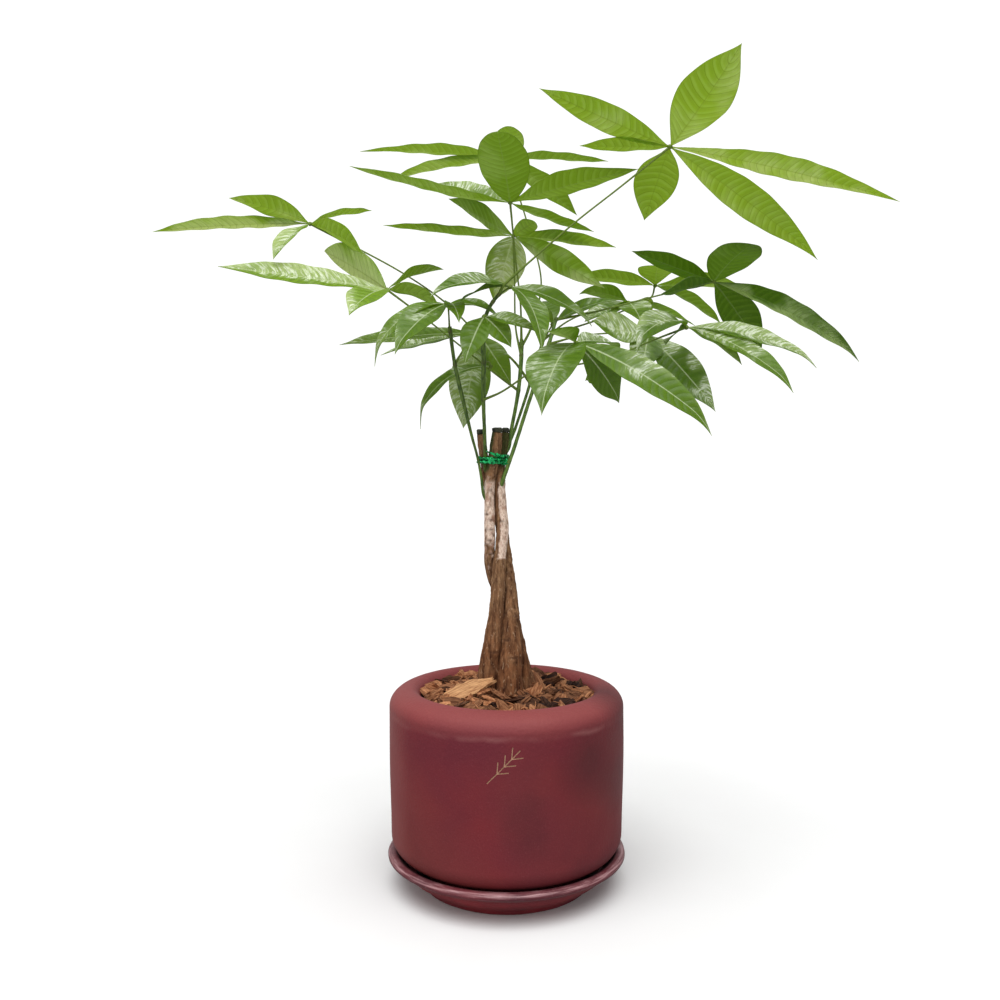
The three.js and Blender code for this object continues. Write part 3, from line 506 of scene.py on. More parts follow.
def scratch(start, end):
    """A thin bar that lies in the wall along a line of the front, given as (x, height)."""
    (x0, z0), (x1, z1) = start, end
    middle = ((x0 + x1) / 2, (z0 + z1) / 2)
    depth = -math.sqrt(FRONT_RADIUS ** 2 - middle[0] ** 2)
    length = math.hypot(x1 - x0, z1 - z0)
    bar = added(bpy.ops.mesh.primitive_cube_add, size=MM)
    turn = Matrix.Rotation(-math.atan2(z1 - z0, x1 - x0), 4, "Y")
    lean = Matrix.Rotation(math.atan2(middle[0], -depth), 4, "Z")
    grow = Matrix.Diagonal((length, 2 * SPRIG_DEPTH, SCRATCH_WIDTH, 1))
    move = Matrix.Translation(Vector((middle[0], depth, middle[1])) * MM)
    bar.data.transform(move @ lean @ turn @ grow)
    bar.data.materials.append(scratched_clay)
    return bar


# %% The strokes of the sprig
SPRIG_STEM = ((-15, 113), (10.5, 138.5))
STEM_JOINTS = (0, 0.25, 0.5, 0.75, 1)
TWIG_LENGTH = 9
TWIG_PLACES = (0.3, 0.52, 0.74)
TWIG_ANGLE = math.radians(40)


def on_stem(share):
    (x0, z0), (x1, z1) = SPRIG_STEM
    return (x0 + (x1 - x0) * share, z0 + (z1 - z0) * share)


def sprig_strokes():
    (x0, z0), (x1, z1) = SPRIG_STEM
    slope = math.atan2(z1 - z0, x1 - x0)
    for low, high in zip(STEM_JOINTS, STEM_JOINTS[1:]):
        yield on_stem(low), on_stem(high)
    for share in TWIG_PLACES:
        foot = on_stem(share)
        for side in (-1, 1):
            way = slope + side * TWIG_ANGLE
            tip = (foot[0] + TWIG_LENGTH * math.cos(way), foot[1] + TWIG_LENGTH * math.sin(way))
            yield foot, tip


clay_pot.data.materials.append(pot_glaze)
for start, end in sprig_strokes():
    bar = scratch(start, end)
    cut = {"operation": "DIFFERENCE", "solver": "EXACT", "material_mode": "TRANSFER", "object": bar}
    apply_modifier(clay_pot, "BOOLEAN", **cut)
    bpy.data.objects.remove(bar)
smooth(clay_pot, 35)
stand_for(clay_pot, "clay", "pot")

# %% The saucer
saucer_outline = [
    (0, 0), (70.5, 0), (72, 1), (73.5, 3), (75.5, 5.2), (80, 8), (84.5, 11.2), (89, 15),
    (93, 19.5), *arc((96, 25.3), 5, 3.2, -50, 180, 14), (90.5, 20.5), (88, 17), (84, 13), (79, 10),
    (0, SAUCER_FLOOR),
]
clay_saucer = thrown("clay_saucer", saucer_outline)
hand_dents(clay_saucer, depth=0.8 * MM, size=22 * MM, seed=2)

# %% [markdown]
# The saucer's glaze is streaked along its lip, partly wear and partly painted sheen, and a painted
# highlight runs along the crest. The streaks are noise that is stretched round the saucer: it reads
# the angle round the axis, scaled down, in place of X.
# Only the saucer's inside, where the pot's shadow never leaves, is darkened.

# %% Saucer glaze
LIP_STREAK = 0.003
SHADED_WITHIN = 93
CREST_HEIGHT = 27.3

saucer_glaze, net, place = new_material("saucer_glaze", Specular_IOR_Level=0.4)
clouds, dots = speckles(net, place, 24.0, 620.0)
x, y, height = (net.parts(place)[axis] for axis in "XYZ")
on_lip = net.spread(height, 17 * MM, 25 * MM)
turn = net.math("ARCTAN2", y, x)
round_place = net.joined(net.times(turn, LIP_STREAK), 0.0, height)
streaks = net.noise(round_place, 1300.0, 3.0, 0.6)
# Pale streaks along the lip: partly wear, partly painted sheen.
wear_and_sheen = net.times(net.spread(streaks, 0.52, 0.66), on_lip)
# A painted highlight along the crest of the lip.
from_crest = net.math("ABSOLUTE", net.math("SUBTRACT", height, CREST_HEIGHT * MM))
painted_crest_highlight = net.spread(from_crest, 0.2 * MM, 1.6 * MM, 1, 0)
painted_crest_highlight = net.times(painted_crest_highlight, net.spread(streaks, 0.42, 0.6, 0.1, 1))
colour = net.mix(clouds, (0.135, 0.019, 0.026, 1), (0.075, 0.011, 0.018, 1))
foot = net.mix(clouds, (0.3, 0.023, 0.032, 1), (0.2, 0.016, 0.024, 1))
colour = net.mix(on_lip, foot, colour)
colour = net.mix(net.times(wear_and_sheen, 0.24), colour, (0.5, 0.27, 0.29, 1))
colour = net.mix(net.times(painted_crest_highlight, 0.55), colour, (0.55, 0.32, 0.33, 1))
colour = net.mix(net.times(dots, 0.16), colour, (0.45, 0.27, 0.28, 1))
from_axis = net.vector_math("LENGTH", net.joined(x, y, 0.0))
inside = net.spread(from_axis, SHADED_WITHIN * MM, (SHADED_WITHIN + 2) * MM, 1, 0)
above_floor = net.spread(height, 9 * MM, 9.8 * MM)
within_slope = net.spread(net.math("SUBTRACT", from_axis, height), 66 * MM, 68 * MM, 1, 0)
inside = net.times(inside, net.times(above_floor, within_slope))
colour = net.mix(net.times(inside, 0.9), colour, (0.01, 0.004, 0.005, 1))
net.paint(colour)
net.roughen(net.spread(wear_and_sheen, 0, 1, 0.45, 0.3))
net.raise_surface(net.noise(place, 420.0, 3.0, 0.6), 0.25, 0.5 * MM)
dress(clay_saucer, saucer_glaze, 35, "clay", "saucer")

# %% [markdown]
# Trunks, shoots and leaf stalks are all stems: a round section that follows a line and gets
# thinner on the way. One flat grid is rolled round each line. Rolling a grid, instead of bending
# a cylinder, gives every stem the same clean rows, so that bark and knots can be raised from it.

# %% A smooth line through points
STEPS_BETWEEN = 24


def smooth_line(points, count):
    """Evenly spaced places on a smooth line through points, with the frame's own turns."""
    nodes = np.array(points, float)
    before = 2 * nodes[0] - nodes[1]
    after = 2 * nodes[-1] - nodes[-2]
    nodes = np.vstack([before, nodes, after])
    dense = []
    for a, b, c, d in zip(nodes, nodes[1:], nodes[2:], nodes[3:]):
        t0 = 0.0
        t1 = t0 + np.sqrt(np.linalg.norm(b - a))
        t2 = t1 + np.sqrt(np.linalg.norm(c - b))
        t3 = t2 + np.sqrt(np.linalg.norm(d - c))
        for t in np.linspace(t1, t2, STEPS_BETWEEN, endpoint=False):
            ab = a + (b - a) * (t - t0) / (t1 - t0)
            bc = b + (c - b) * (t - t1) / (t2 - t1)
            cd = c + (d - c) * (t - t2) / (t3 - t2)
            abc = ab + (bc - ab) * (t - t0) / (t2 - t0)
            bcd = bc + (cd - bc) * (t - t1) / (t3 - t1)
            dense.append(abc + (bcd - abc) * (t - t1) / (t2 - t1))
    dense.append(nodes[-2])
    dense = np.array(dense)
    steps = np.linalg.norm(np.diff(dense, axis=0), axis=1)
    travelled = np.concatenate([[0], np.cumsum(steps)])
    wanted = np.linspace(0, travelled[-1], count)
    return np.stack([np.interp(wanted, travelled, dense[:, k]) for k in range(3)], axis=1)


def carried_frames(line):
    """Two directions across a line at each of its places, carried along without twisting."""
    ahead = np.gradient(line, axis=0)
    ahead /= np.linalg.norm(ahead, axis=1)[:, None]
    side = np.cross(ahead[0], (0, 1, 0.2))
    sides = []
    for way in ahead:
        side = side - way * np.dot(side, way)
        side = side / np.linalg.norm(side)
        sides.append(side)
    sides = np.array(sides)
    return sides, np.cross(ahead, sides)


# %% Rolling a grid into a stem
def flat_grid(name, columns, rows):
    """A flat grid with a UV map, and where each of its points lies on it, from 0 to 1."""
    add_grid = bpy.ops.mesh.primitive_grid_add
    obj = added(add_grid, x_subdivisions=columns, y_subdivisions=rows, size=1, calc_uvs=True)
    obj.name = name
    flat = read_points(obj)
    return obj, flat[:, 0] + 0.5, flat[:, 1] + 0.5


def rolled_stem(name, points, radii, columns, rows, relief=None):
    """A stem in millimetres. relief(places, angle, along) gives each point's extra radius."""
    obj, around, along = flat_grid(name, columns, rows)
    line = smooth_line(points, rows + 1)
    sides, ups = carried_frames(line)
    row = np.rint(along * rows).astype(int)
    angle = 2 * np.pi * around
    radius = np.interp(along, np.linspace(0, 1, len(radii)), radii)
    out = np.cos(angle)[:, None] * sides[row] + np.sin(angle)[:, None] * ups[row]
    places = line[row] + out * radius[:, None]
    if relief is not None:
        places += out * relief(places, angle, along)[:, None]
    write_points(obj, places * MM)
    return obj, line[row], along


# %% [markdown]
# Each trunk is a list of points on its middle line and of radii along it, as in the frame. Beside
# them stand the heights between which it is papery, and the side from which it is, as an angle
# from the front. The green stretch has a height, a strength and a side. A scar has a height and
# a side.

# %% The trunks' lines
TRUNKS = {
    "trunk_front": {
        "points": [
            (-15.5, -8, 118), (-15.5, -8, 157), (-15, -8.5, 175), (-12.4, -9.5, 197),
            (-9.3, -10, 223), (-7.3, -9.3, 249), (-6.2, -7, 270), (-4.5, -4.5, 285),
            (-3.3, -2, 300), (-4.9, 0.3, 316), (-6, 1, 338), (-5.4, 2.4, 350), (-2.9, 4.4, 362),
            (-1.2, 5, 380.5),
        ],
        "radii": [9.3, 9.5, 9.3, 8.1, 6.9, 5.8, 5.2, 4.9, 5.1, 4.8, 3.3, 3],
        "papery": (273.5, 341, -0.55), "green": (349, 0.8, 4),
        "scars": [(338, 0.9), (305, -0.2), (196, 0.3)],
    },
    "trunk_middle": {
        "points": [
            (1.9, -13, 118), (1.9, -13, 157), (2.7, -12.5, 176), (4, -11.5, 198), (4, -8.5, 222),
            (2.8, -3.5, 243), (1, 2, 262), (-1.6, 6.8, 277), (-3.4, 8.6, 292), (-6.2, 8.8, 305),
            (-12.4, 7.4, 322), (-17.2, 4.5, 342), (-19.4, 2.2, 359), (-22.2, 1, 379),
        ],
        "radii": [11, 11.2, 10.9, 9.2, 7.4, 5.5, 5.1, 4.8, 4, 3.5, 3.1, 2.9],
        "papery": (0, 0, 0), "green": (400, 0, 0), "scars": [(192, 0.3), (226, 0.7), (206, -0.5)],
    },
    "trunk_rear": {
        "points": [
            (15.5, 7, 118), (15.5, 7, 158), (12.7, 6.5, 173), (8.7, 5.5, 194), (5, 6.3, 214),
            (-0.5, 7, 233), (-6.5, 6.3, 245), (-11.5, 3, 257), (-14.2, 0, 270), (-14.3, -2.3, 285),
            (-14.5, -3, 305), (-14.6, -3, 330), (-13, -3, 347), (-9.8, -3, 362), (-8, -3, 380.5),
        ],
        "radii": [9.8, 10, 9.6, 8.2, 6.8, 5.6, 4.6, 4.3, 4.1, 4.4, 4.4, 4.4],
        "papery": (262, 343, -4), "green": (345, 0.85, -0.3),
        "scars": [(311, -0.6), (306, 0.3), (289, -0.15), (286, -1.1), (298, 0.3), (277, 0.2)],
    },
}

# %% [markdown]
# The bark of the trunks is brown and stringy near the ground, and its fibres run along the
# stem. Higher up it is pale and papery, and it peels at a sharp line. The fibres are raised from
# the mesh itself, by noise that changes fast round the stem and slowly along it. How papery and
# how green the bark is at a point is stored with the point, and the material reads it.

# %% Raising the bark
TRUNK_TOP = 382
SCAR_LENGTH = 1.0
FLARE_FROM = 170


def towards_viewer(angle):
    """Where a point lies round a stem: 0 on the front, positive on the right, in radians."""
    return np.angle(np.exp(1j * (angle - np.pi / 2)))


def bark_relief(made):
    """Ridges along the stem, scars at given places, and a smoother papery stretch."""
    low, high, _ = made["papery"]

    def relief(places, angle, along):
        height = places[:, 2]
        round_and_up = np.stack([np.cos(angle) * 9, np.sin(angle) * 9, height * 0.2], axis=1)
        ridges = 1 - 2 * np.abs(lumps(round_and_up, 3.6, 3))
        fine = lumps(round_and_up * (1, 1, 2.4), 1.3, 5)
        swell = lumps(places, 12, 8) * 0.6
        rough = np.where((height > low) & (height < high), 0.3, 1.0)
        total = (ridges * 0.6 + fine * 0.4) * rough + swell + 0.05
        for where, direction in made["scars"]:
            turn = np.angle(np.exp(1j * (towards_viewer(angle) - direction)))
            spot = np.exp(-((height - where) / SCAR_LENGTH) ** 2 - (turn / 0.6) ** 2)
            ring = np.exp(-((height - where) / (3 * SCAR_LENGTH)) ** 2 - (turn / 0.85) ** 2)
            total += 1.2 * ring - 1.2 * spot
        flare = np.clip((FLARE_FROM - height) / 12, 0, 1)
        return total * np.clip((TRUNK_TOP - height) / 6, 0.2, 1) + flare * 0.6

    return relief


# %% Where the bark is papery
MIXED_UP_TO = 296


def papery_share(made, height, front, places):
    """How papery the bark is: a sharp, ragged edge below and a soft one above."""
    low, high, from_side = made["papery"]
    if high <= low:
        return np.zeros(len(height))
    ragged = lumps(places, 5, 11) * 1.2 + lumps(places, 1.6, 12) * 0.6
    worn_off = np.clip((MIXED_UP_TO - height) / 26, 0, 1) * (from_side < -1)
    start = np.clip((height + ragged - low) / 0.8, 0, 1)
    start *= np.clip(1.2 - 1.5 * worn_off + 1.4 * lumps(places * (1, 1, 0.6), 2.6, 13), 0, 1)
    stop = np.clip((high - height + 5 * ragged) / 7, 0, 1)
    side = np.clip((front - from_side + 0.25 * ragged) / 0.3, 0, 1)
    return start * stop * side


# %% Growing a trunk
TRUNK_GRID = (60, 260)


def grow_trunk(name):
    made = TRUNKS[name]
    line = (made["points"], made["radii"])
    obj, middle, _ = rolled_stem(f"bark_{name}", *line, *TRUNK_GRID, bark_relief(made))
    places = read_points(obj) / MM
    height = places[:, 2]
    front = np.arctan2(places[:, 0] - middle[:, 0], middle[:, 1] - places[:, 1])
    green_from, green_most, green_side = made["green"]
    ragged = lumps(places, 4, 14)
    green = np.clip((height + 4 * ragged - green_from) / 6, 0, 1) * green_most
    mark_points(obj, "papery", papery_share(made, height, front, places))
    mark_points(obj, "green", green * np.clip((green_side - front + 0.3 * ragged) / 0.4, 0, 1))
    scars = np.zeros(len(height))
    for where, direction in made["scars"]:
        away = ((height - where) / SCAR_LENGTH) ** 2 + ((front - direction) / 0.5) ** 2
        scars += 0.8 * np.exp(-away)
    mark_points(obj, "scar", np.minimum(scars, 1))
    return close_mesh(obj, weld=0.01 * MM)


# %% Bark
DEEP_BARK = (0.05, 0.016, 0.007, 1)
RED_BARK = (0.26, 0.104, 0.043, 1)
DUSTY_DEEP_BARK = (0.1, 0.045, 0.022, 1)
DUSTY_BARK = (0.355, 0.2, 0.102, 1)
DARK_PAPER = (0.58, 0.37, 0.27, 1)
PALE_PAPER = (0.92, 0.73, 0.61, 1)


def bark_material():
    material, net, place = new_material("bark", Roughness=0.9, Specular_IOR_Level=0.15)
    ridges = net.noise(net.stretched(place, (1, 1, 0.17)), 330.0, 4.0, 0.65)
    patches = net.noise(place, 75.0, 3.0)
    grain = net.noise(net.stretched(place, (1, 1, 0.45)), 900.0, 3.0, 0.7)
    flecks = net.noise(net.stretched(place, (1, 1, 0.4)), 480.0, 2.0, 0.6)
    up = net.spread(net.parts(place)["Z"], 175 * MM, 262 * MM)
    red_brown = net.mix(net.spread(ridges, 0.34, 0.64), DEEP_BARK, RED_BARK)
    dusty = net.mix(net.spread(ridges, 0.36, 0.64), DUSTY_DEEP_BARK, DUSTY_BARK)
    dust = net.math("MULTIPLY_ADD", up, 0.75, net.spread(patches, 0.46, 0.66, 0, 0.35), clamp=True)
    brown = net.mix(dust, red_brown, dusty)
    brown = net.mix(net.spread(grain, 0.5, 0.7, 0, 0.45), brown, (0.07, 0.03, 0.016, 1))
    brown = net.mix(net.spread(flecks, 0.6, 0.68, 0, 0.6), brown, (0.44, 0.28, 0.17, 1))
    paper = net.mix(net.spread(grain, 0.34, 0.56), DARK_PAPER, PALE_PAPER)
    paper = net.mix(net.spread(patches, 0.54, 0.62, 0, 0.7), paper, (0.4, 0.17, 0.1, 1))
    paper = net.mix(net.spread(flecks, 0.6, 0.66, 0, 0.65), paper, (0.24, 0.09, 0.05, 1))
    colour = net.mix(net.attribute("papery"), brown, paper)
    colour = net.mix(net.attribute("scar"), colour, (0.09, 0.04, 0.022, 1))
    moss_green = net.mix(grain, (0.02, 0.035, 0.01, 1), (0.07, 0.1, 0.025, 1))
    colour = net.mix(net.attribute("green"), colour, moss_green)
    net.paint(colour)
    height = net.math("ADD", ridges, net.times(grain, 0.4))
    net.raise_surface(height, 0.8, 1.3 * MM)
    return material


BARK = bark_material()
for trunk_name in TRUNKS:
    dress(grow_trunk(trunk_name), BARK, 60, "trunk_bark", trunk_name)

# %% [markdown]
# Each cut top is dipped in dark wax. The wax starts as a sphere, is pressed flat on the cut, and
# a few of its lower points run down the side as drops do.

# %% Wax caps
DROP_LENGTH = 0.28
BLACK_WAX = (0.008, 0.011, 0.007, 1)
DULL_WAX = (0.06, 0.062, 0.035, 1)


def wax_cap(name, seed):
    """A sphere pressed flat into the box of its construction node, with a few drops below."""
    low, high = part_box(name)
    cap = added(bpy.ops.mesh.primitive_uv_sphere_add, segments=40, ring_count=24, radius=0.5)
    cap.name = f"wax_{name}"
    places = read_points(cap)
    flat = np.sign(places[:, 2]) * np.abs(places[:, 2] * 2) ** 0.5 / 2
    angle = np.arctan2(places[:, 1], places[:, 0])
    ripples = lumps(places, 0.22, seed) * 0.09
    side = np.hypot(places[:, 0], places[:, 1]) > 0.25
    drop = np.clip(np.sin(angle * 2 + seed), 0, 1) ** 3 * np.clip(-places[:, 2] * 2, 0, 1)
    places[:, :2] *= (0.97 + ripples)[:, None]
    places[:, 2] = flat + ripples * 1.2 - drop * side * DROP_LENGTH
    places = places * np.array(high - low) + np.array(low + high) / 2
    places[:, 2] = np.minimum(places[:, 2], high.z)
    write_points(cap, places)
    return close_mesh(cap)


wax, net, place = new_material("dark_wax", Roughness=0.5, Specular_IOR_Level=0.35)
stain = net.spread(net.noise(place, 330.0, 3.0), 0.42, 0.62)
net.paint(net.mix(stain, BLACK_WAX, DULL_WAX))
net.raise_surface(net.noise(place, 500.0), 0.6, 0.8 * MM)
for seed, cap_node in enumerate(("cap_front", "cap_middle", "cap_rear")):
    dress(wax_cap(cap_node, seed + 1), wax, 60, "wax", cap_node)

# %% [markdown]
# Bark chips lie loose on the soil. Seven flakes are modelled, each from a cube that is flattened,
# divided and roughened, and then strewn as copies of many sizes over a bed, whose darkest wood colour
# is painted shade in the gaps between them. The draws come from one seeded generator, so the heap
# is the same each time. Thin fibres lie between them.

# %% Chip shapes
BED_TOP = 154
HEAP_TOP = 4
HEAP_RADIUS = 38
SHAPE_COUNT = 7


def heap_height(radius):
    return BED_TOP + HEAP_TOP * np.exp(-((radius / HEAP_RADIUS) ** 2))


def chip_shape(seed):
    """A flake one unit long: a flattened cube, divided, roughened and torn at its ends."""
    chip = added(bpy.ops.mesh.primitive_cube_add, size=1)
    bpy.ops.object.mode_set(mode="EDIT")
    bpy.ops.mesh.subdivide(number_cuts=2)
    bpy.ops.object.mode_set(mode="OBJECT")
    places = read_points(chip)
    rough = np.stack([lumps(places, 0.35, seed + k) for k in (20, 40, 60)], axis=1)
    ends = np.abs(places[:, 0]) * 2
    places[:, 1] *= 1 - 0.5 * ends ** 2 * (0.6 + 0.4 * math.sin(seed * 2.1))
    places[:, 2] *= 1 - 0.35 * ends
    places[:, 2] += 0.3 * (places[:, 1] ** 2 * 4 - 0.3) * math.cos(seed * 1.7)
    write_points(chip, places + rough * (0.22, 0.26, 0.2))
    return chip


CHIP_SHAPES = [chip_shape(seed) for seed in range(SHAPE_COUNT)]

# %% Strewing the chips
draw = np.random.default_rng(12)
CHIP_COUNT = 270
SHORT_CHIP = (11, 17)
LONG_CHIP = (16, 26)
CHIP_WIDTH_SHARE = (0.42, 0.75)
CHIP_THICKNESS = (2.6, 5.2)
CHIP_TILT = 0.6
CHIP_SUNK = 0.6
PILE_HEIGHT = 5
PILE_STEP = 7919
TONE_LEAN = 0.22
GOLDEN_ANGLE = math.radians(137.508)


def strewn(shape, size, place, turn, tilt, tone):
    """One copy of a shape, with its own mesh, at its place in millimetres."""
    chip = copied(shape)
    flat = read_points(chip) * size
    mark_points(chip, "grain_along", flat[:, 0])
    mark_points(chip, "grain_across", flat[:, 1] + flat[:, 2])
    mark_points(chip, "tone", tone)
    move = Matrix.Translation(Vector(place) * MM)
    turned = Matrix.Rotation(turn, 4, "Z") @ Matrix.Rotation(tilt[0], 4, "X")
    turned = turned @ Matrix.Rotation(tilt[1], 4, "Y")
    grow = Matrix.Diagonal((size[0] * MM, size[1] * MM, size[2] * MM, 1))
    chip.data.transform(move @ turned @ grow)
    return chip


def strew_chips():
    chips = []
    for i in range(CHIP_COUNT):
        length = draw.uniform(*(SHORT_CHIP if i % 3 else LONG_CHIP))
        width = length * draw.uniform(*CHIP_WIDTH_SHARE)
        size = (length, width, draw.uniform(*CHIP_THICKNESS))
        reach = MOUTH_RADIUS - length / 2
        even = MOUTH_RADIUS * math.sqrt((i + 0.5) / CHIP_COUNT)
        radius = min(even, reach + draw.uniform(-1.5, 1.5))
        angle = i * GOLDEN_ANGLE
        layer = (i * PILE_STEP % 100) / 100
        height = float(heap_height(radius)) - CHIP_SUNK + PILE_HEIGHT * layer
        place = (radius * math.cos(angle), radius * math.sin(angle), height)
        tilt = (draw.normal(0, CHIP_TILT), draw.normal(0, 0.75 * CHIP_TILT))
        shape = CHIP_SHAPES[i % SHAPE_COUNT]
        tone = draw.uniform(0, 1) - TONE_LEAN * place[0] / MOUTH_RADIUS
        chips.append(strewn(shape, size, place, draw.uniform(0, 2 * math.pi), tilt, tone))
    return chips


# %% Strewing the fibres
FIBRE_COUNT = 60
FIBRE_REACH = 66
FIBRE_LIFT = 6
FIBRE_SIZE = ((6, 20), (0.5, 1.4), (0.4, 0.9))
FIBRE_TILT = 0.25


def strew_fibres():
    fibres = []
    for i in range(FIBRE_COUNT):
        radius = FIBRE_REACH * math.sqrt((i + 0.5) / FIBRE_COUNT)
        angle = i * GOLDEN_ANGLE + 1
        height = float(heap_height(radius)) + FIBRE_LIFT
        place = (radius * math.cos(angle), radius * math.sin(angle), height)
        size = tuple(draw.uniform(*limits) for limits in FIBRE_SIZE)
        tilt = (draw.normal(0, FIBRE_TILT), draw.normal(0, FIBRE_TILT))
        turn = draw.uniform(0, 2 * math.pi)
        tone = draw.uniform(0.6, 1.3)
        fibres.append(strewn(CHIP_SHAPES[i % 3], size, place, turn, tilt, tone))
    return fibres


mulch = join_pieces("bark_mulch", strew_chips() + strew_fibres())
for shape in CHIP_SHAPES:
    bpy.data.objects.remove(shape)
print("mulch", len(mulch.data.polygons), "faces")

# %% The bed under the chips
BED_BOTTOM = 142.4
BED_RADIUS = 73
BED_DENTS = 0.8

bed_points = [(0, BED_BOTTOM), (BED_RADIUS, BED_BOTTOM), (BED_RADIUS, BED_TOP - 0.5)]
bed_points += [(radius, float(heap_height(radius))) for radius in (66, 56, 46, 36, 26, 16, 8, 0)]
bark_bed = thrown("bark_bed", bed_points)
bed_places = read_points(bark_bed)
bed_places[:, 2] -= BED_DENTS * MM * np.abs(lumps(bed_places, 6 * MM, 31))
write_points(bark_bed, bed_places)
# The bed takes the darkest end of the chip wood: painted shade in the gaps between the chips.
for stored in ("tone", "grain_along", "grain_across"):
    mark_points(bark_bed, stored, -0.2)

# %% The long pale splinter
SPLINTER_FROM = (-54, -24, 158)
SPLINTER_TO = (-11, -21, 174.5)
SPLINTER_FACE = (-0.12, -0.72, 0.68)
SPLINTER_THICKNESS = 2.6
SPLINTER_WIDTHS = [7, 12, 14.5, 14.5, 12, 7.5, 3.5]


def splinter():
    """The long pale sliver of wood: a flat grid made thick, with torn, tapered ends."""
    obj, across, along = flat_grid("pale_splinter", 16, 60)
    start, end = np.array(SPLINTER_FROM, float), np.array(SPLINTER_TO, float)
    size = np.linalg.norm(end - start)
    way = (end - start) / size
    side = np.cross(way, SPLINTER_FACE)
    side /= np.linalg.norm(side)
    up = np.cross(side, way)
    flat = np.stack([across * 12, along * size, np.zeros(len(along))], axis=1)
    tear = lumps(flat * (1, 0.2, 1), 1.9, 41)
    length = along * size + tear * 3.5 * (np.abs(along - 0.5) * 2) ** 6
    width = np.interp(along, np.linspace(0, 1, len(SPLINTER_WIDTHS)), SPLINTER_WIDTHS)
    edge = lumps(flat * (0, 1, 0), 5, 47) * 1.6
    ridge = 0.5 * lumps(flat * (1, 0.08, 1), 1.4, 44) + 1.4 * np.sin(along * 3.0)
    shift = width * (across - 0.5) + edge * np.sign(across - 0.5)
    places = start + way * length[:, None] + side * shift[:, None] + up * ridge[:, None]
    write_points(obj, places * MM)
    mark_points(obj, "grain_along", length)
    mark_points(obj, "grain_across", shift)
    apply_modifier(obj, "SOLIDIFY", thickness=SPLINTER_THICKNESS * MM, offset=-1)
    return obj


pale_splinter = splinter()

# %% Wood materials of the mulch
chip_wood, net, place = new_material("chip_wood", Roughness=0.9, Specular_IOR_Level=0.2)
tone = net.attribute("tone")
along_chip = net.times(net.attribute("grain_along"), 0.16)
across_chip = net.attribute("grain_across")
streak_place = net.joined(along_chip, across_chip, net.times(tone, 90))
streaks = net.noise(streak_place, 0.9, 3.0, 0.6)
crumbs = net.noise(place, 520.0, 3.0, 0.7)
tone = net.spread(tone, 0.1, 0.9)
dark = net.mix(tone, (0.01, 0.0042, 0.0032, 1), (0.25, 0.088, 0.036, 1))
light = net.mix(tone, (0.055, 0.02, 0.011, 1), (0.6, 0.28, 0.134, 1))
wood = net.mix(net.spread(streaks, 0.4, 0.62), dark, light)
wood = net.mix(net.spread(crumbs, 0.57, 0.74, 0, 0.35), wood, (0.05, 0.024, 0.014, 1))
net.paint(wood)
net.raise_surface(net.math("ADD", streaks, crumbs), 0.6, 0.8 * MM)

pale_wood, net, place = new_material("pale_wood", Roughness=0.75, Specular_IOR_Level=0.2)
along_grain = net.times(net.attribute("grain_along"), 0.1)
grain_place = net.joined(along_grain, net.attribute("grain_across"), 0.0)
streaks = net.noise(grain_place, 0.9, 4.0, 0.65)
wood = net.mix(net.spread(streaks, 0.36, 0.62), (0.3, 0.13, 0.055, 1), (0.66, 0.37, 0.175, 1))
net.paint(wood)
net.raise_surface(streaks, 0.5, 0.8 * MM)

for wood_piece, finish in ((mulch, chip_wood), (bark_bed, chip_wood), (pale_splinter, pale_wood)):
    wood_piece.data.materials.clear()
    wood_piece.data.materials.append(finish)
    stand_for(wood_piece, "bark_chips", "bark_chips")
smooth(pale_splinter, 40)
smooth(mulch, 25)

damp_soil, net, place = new_material("damp_soil", Roughness=0.95)
crumbs = net.noise(place, 240.0, 4.0, 0.7)
net.paint(net.mix(crumbs, (0.012, 0.008, 0.006, 1), (0.06, 0.04, 0.03, 1)))
net.raise_surface(crumbs, 0.8, 1.5 * MM)
soil_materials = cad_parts["soil"].data.materials
soil_materials.clear()
soil_materials.append(damp_soil)

# %% [markdown]
# The tie is a twist of green foil, wound round the trunks and one shoot. Its body is a stem along
# the tie's route, crumpled by noise into sharp folds that catch the light. Short slivers of foil
# stand out of it, each turned a golden angle from the one before, so they never line up.

# %% The route of the tie
TIE_HEIGHT = 354.5
TIE_PITCH = 2.7
TIE_TURNS = 2
TIE_OUTLINE = [
    (1.2, 3.6), (0, 0.2), (-3, -2.6), (-6, -6.6), (-10.3, -9.2), (-17.5, -8.6), (-21.8, -6),
    (-23.8, 2), (-22.4, 7.2), (-17, 8.2), (-10, 8.6), (-3, 9.2), (0.6, 7.4),
]


def tie_route():
    top = TIE_HEIGHT + TIE_PITCH * TIE_TURNS
    route = [(1, -13, TIE_HEIGHT), (-2.2, -7.6, TIE_HEIGHT - 0.8)]
    stops = len(TIE_OUTLINE)
    for i in range(1, stops * TIE_TURNS + 2):
        x, y = TIE_OUTLINE[i % stops]
        route.append((x, y, TIE_HEIGHT + TIE_PITCH * i / stops))
    return route + [(-10, -12.5, top + 2), (-17, -16, top + 5)]


# %% Crumpled foil and its slivers
FOIL_RADIUS = 1.5
FOIL_CRUMPLE = 1.0


def foil_strip():
    """A sliver of foil that stands up from the origin, one unit long."""
    strip = added(bpy.ops.mesh.primitive_cone_add, vertices=3, radius1=0.32, radius2=0.12, depth=1)
    strip.data.transform(Matrix.Diagonal((1, 0.12, 1, 1)) @ Matrix.Translation((0, 0, 0.5)))
    return strip


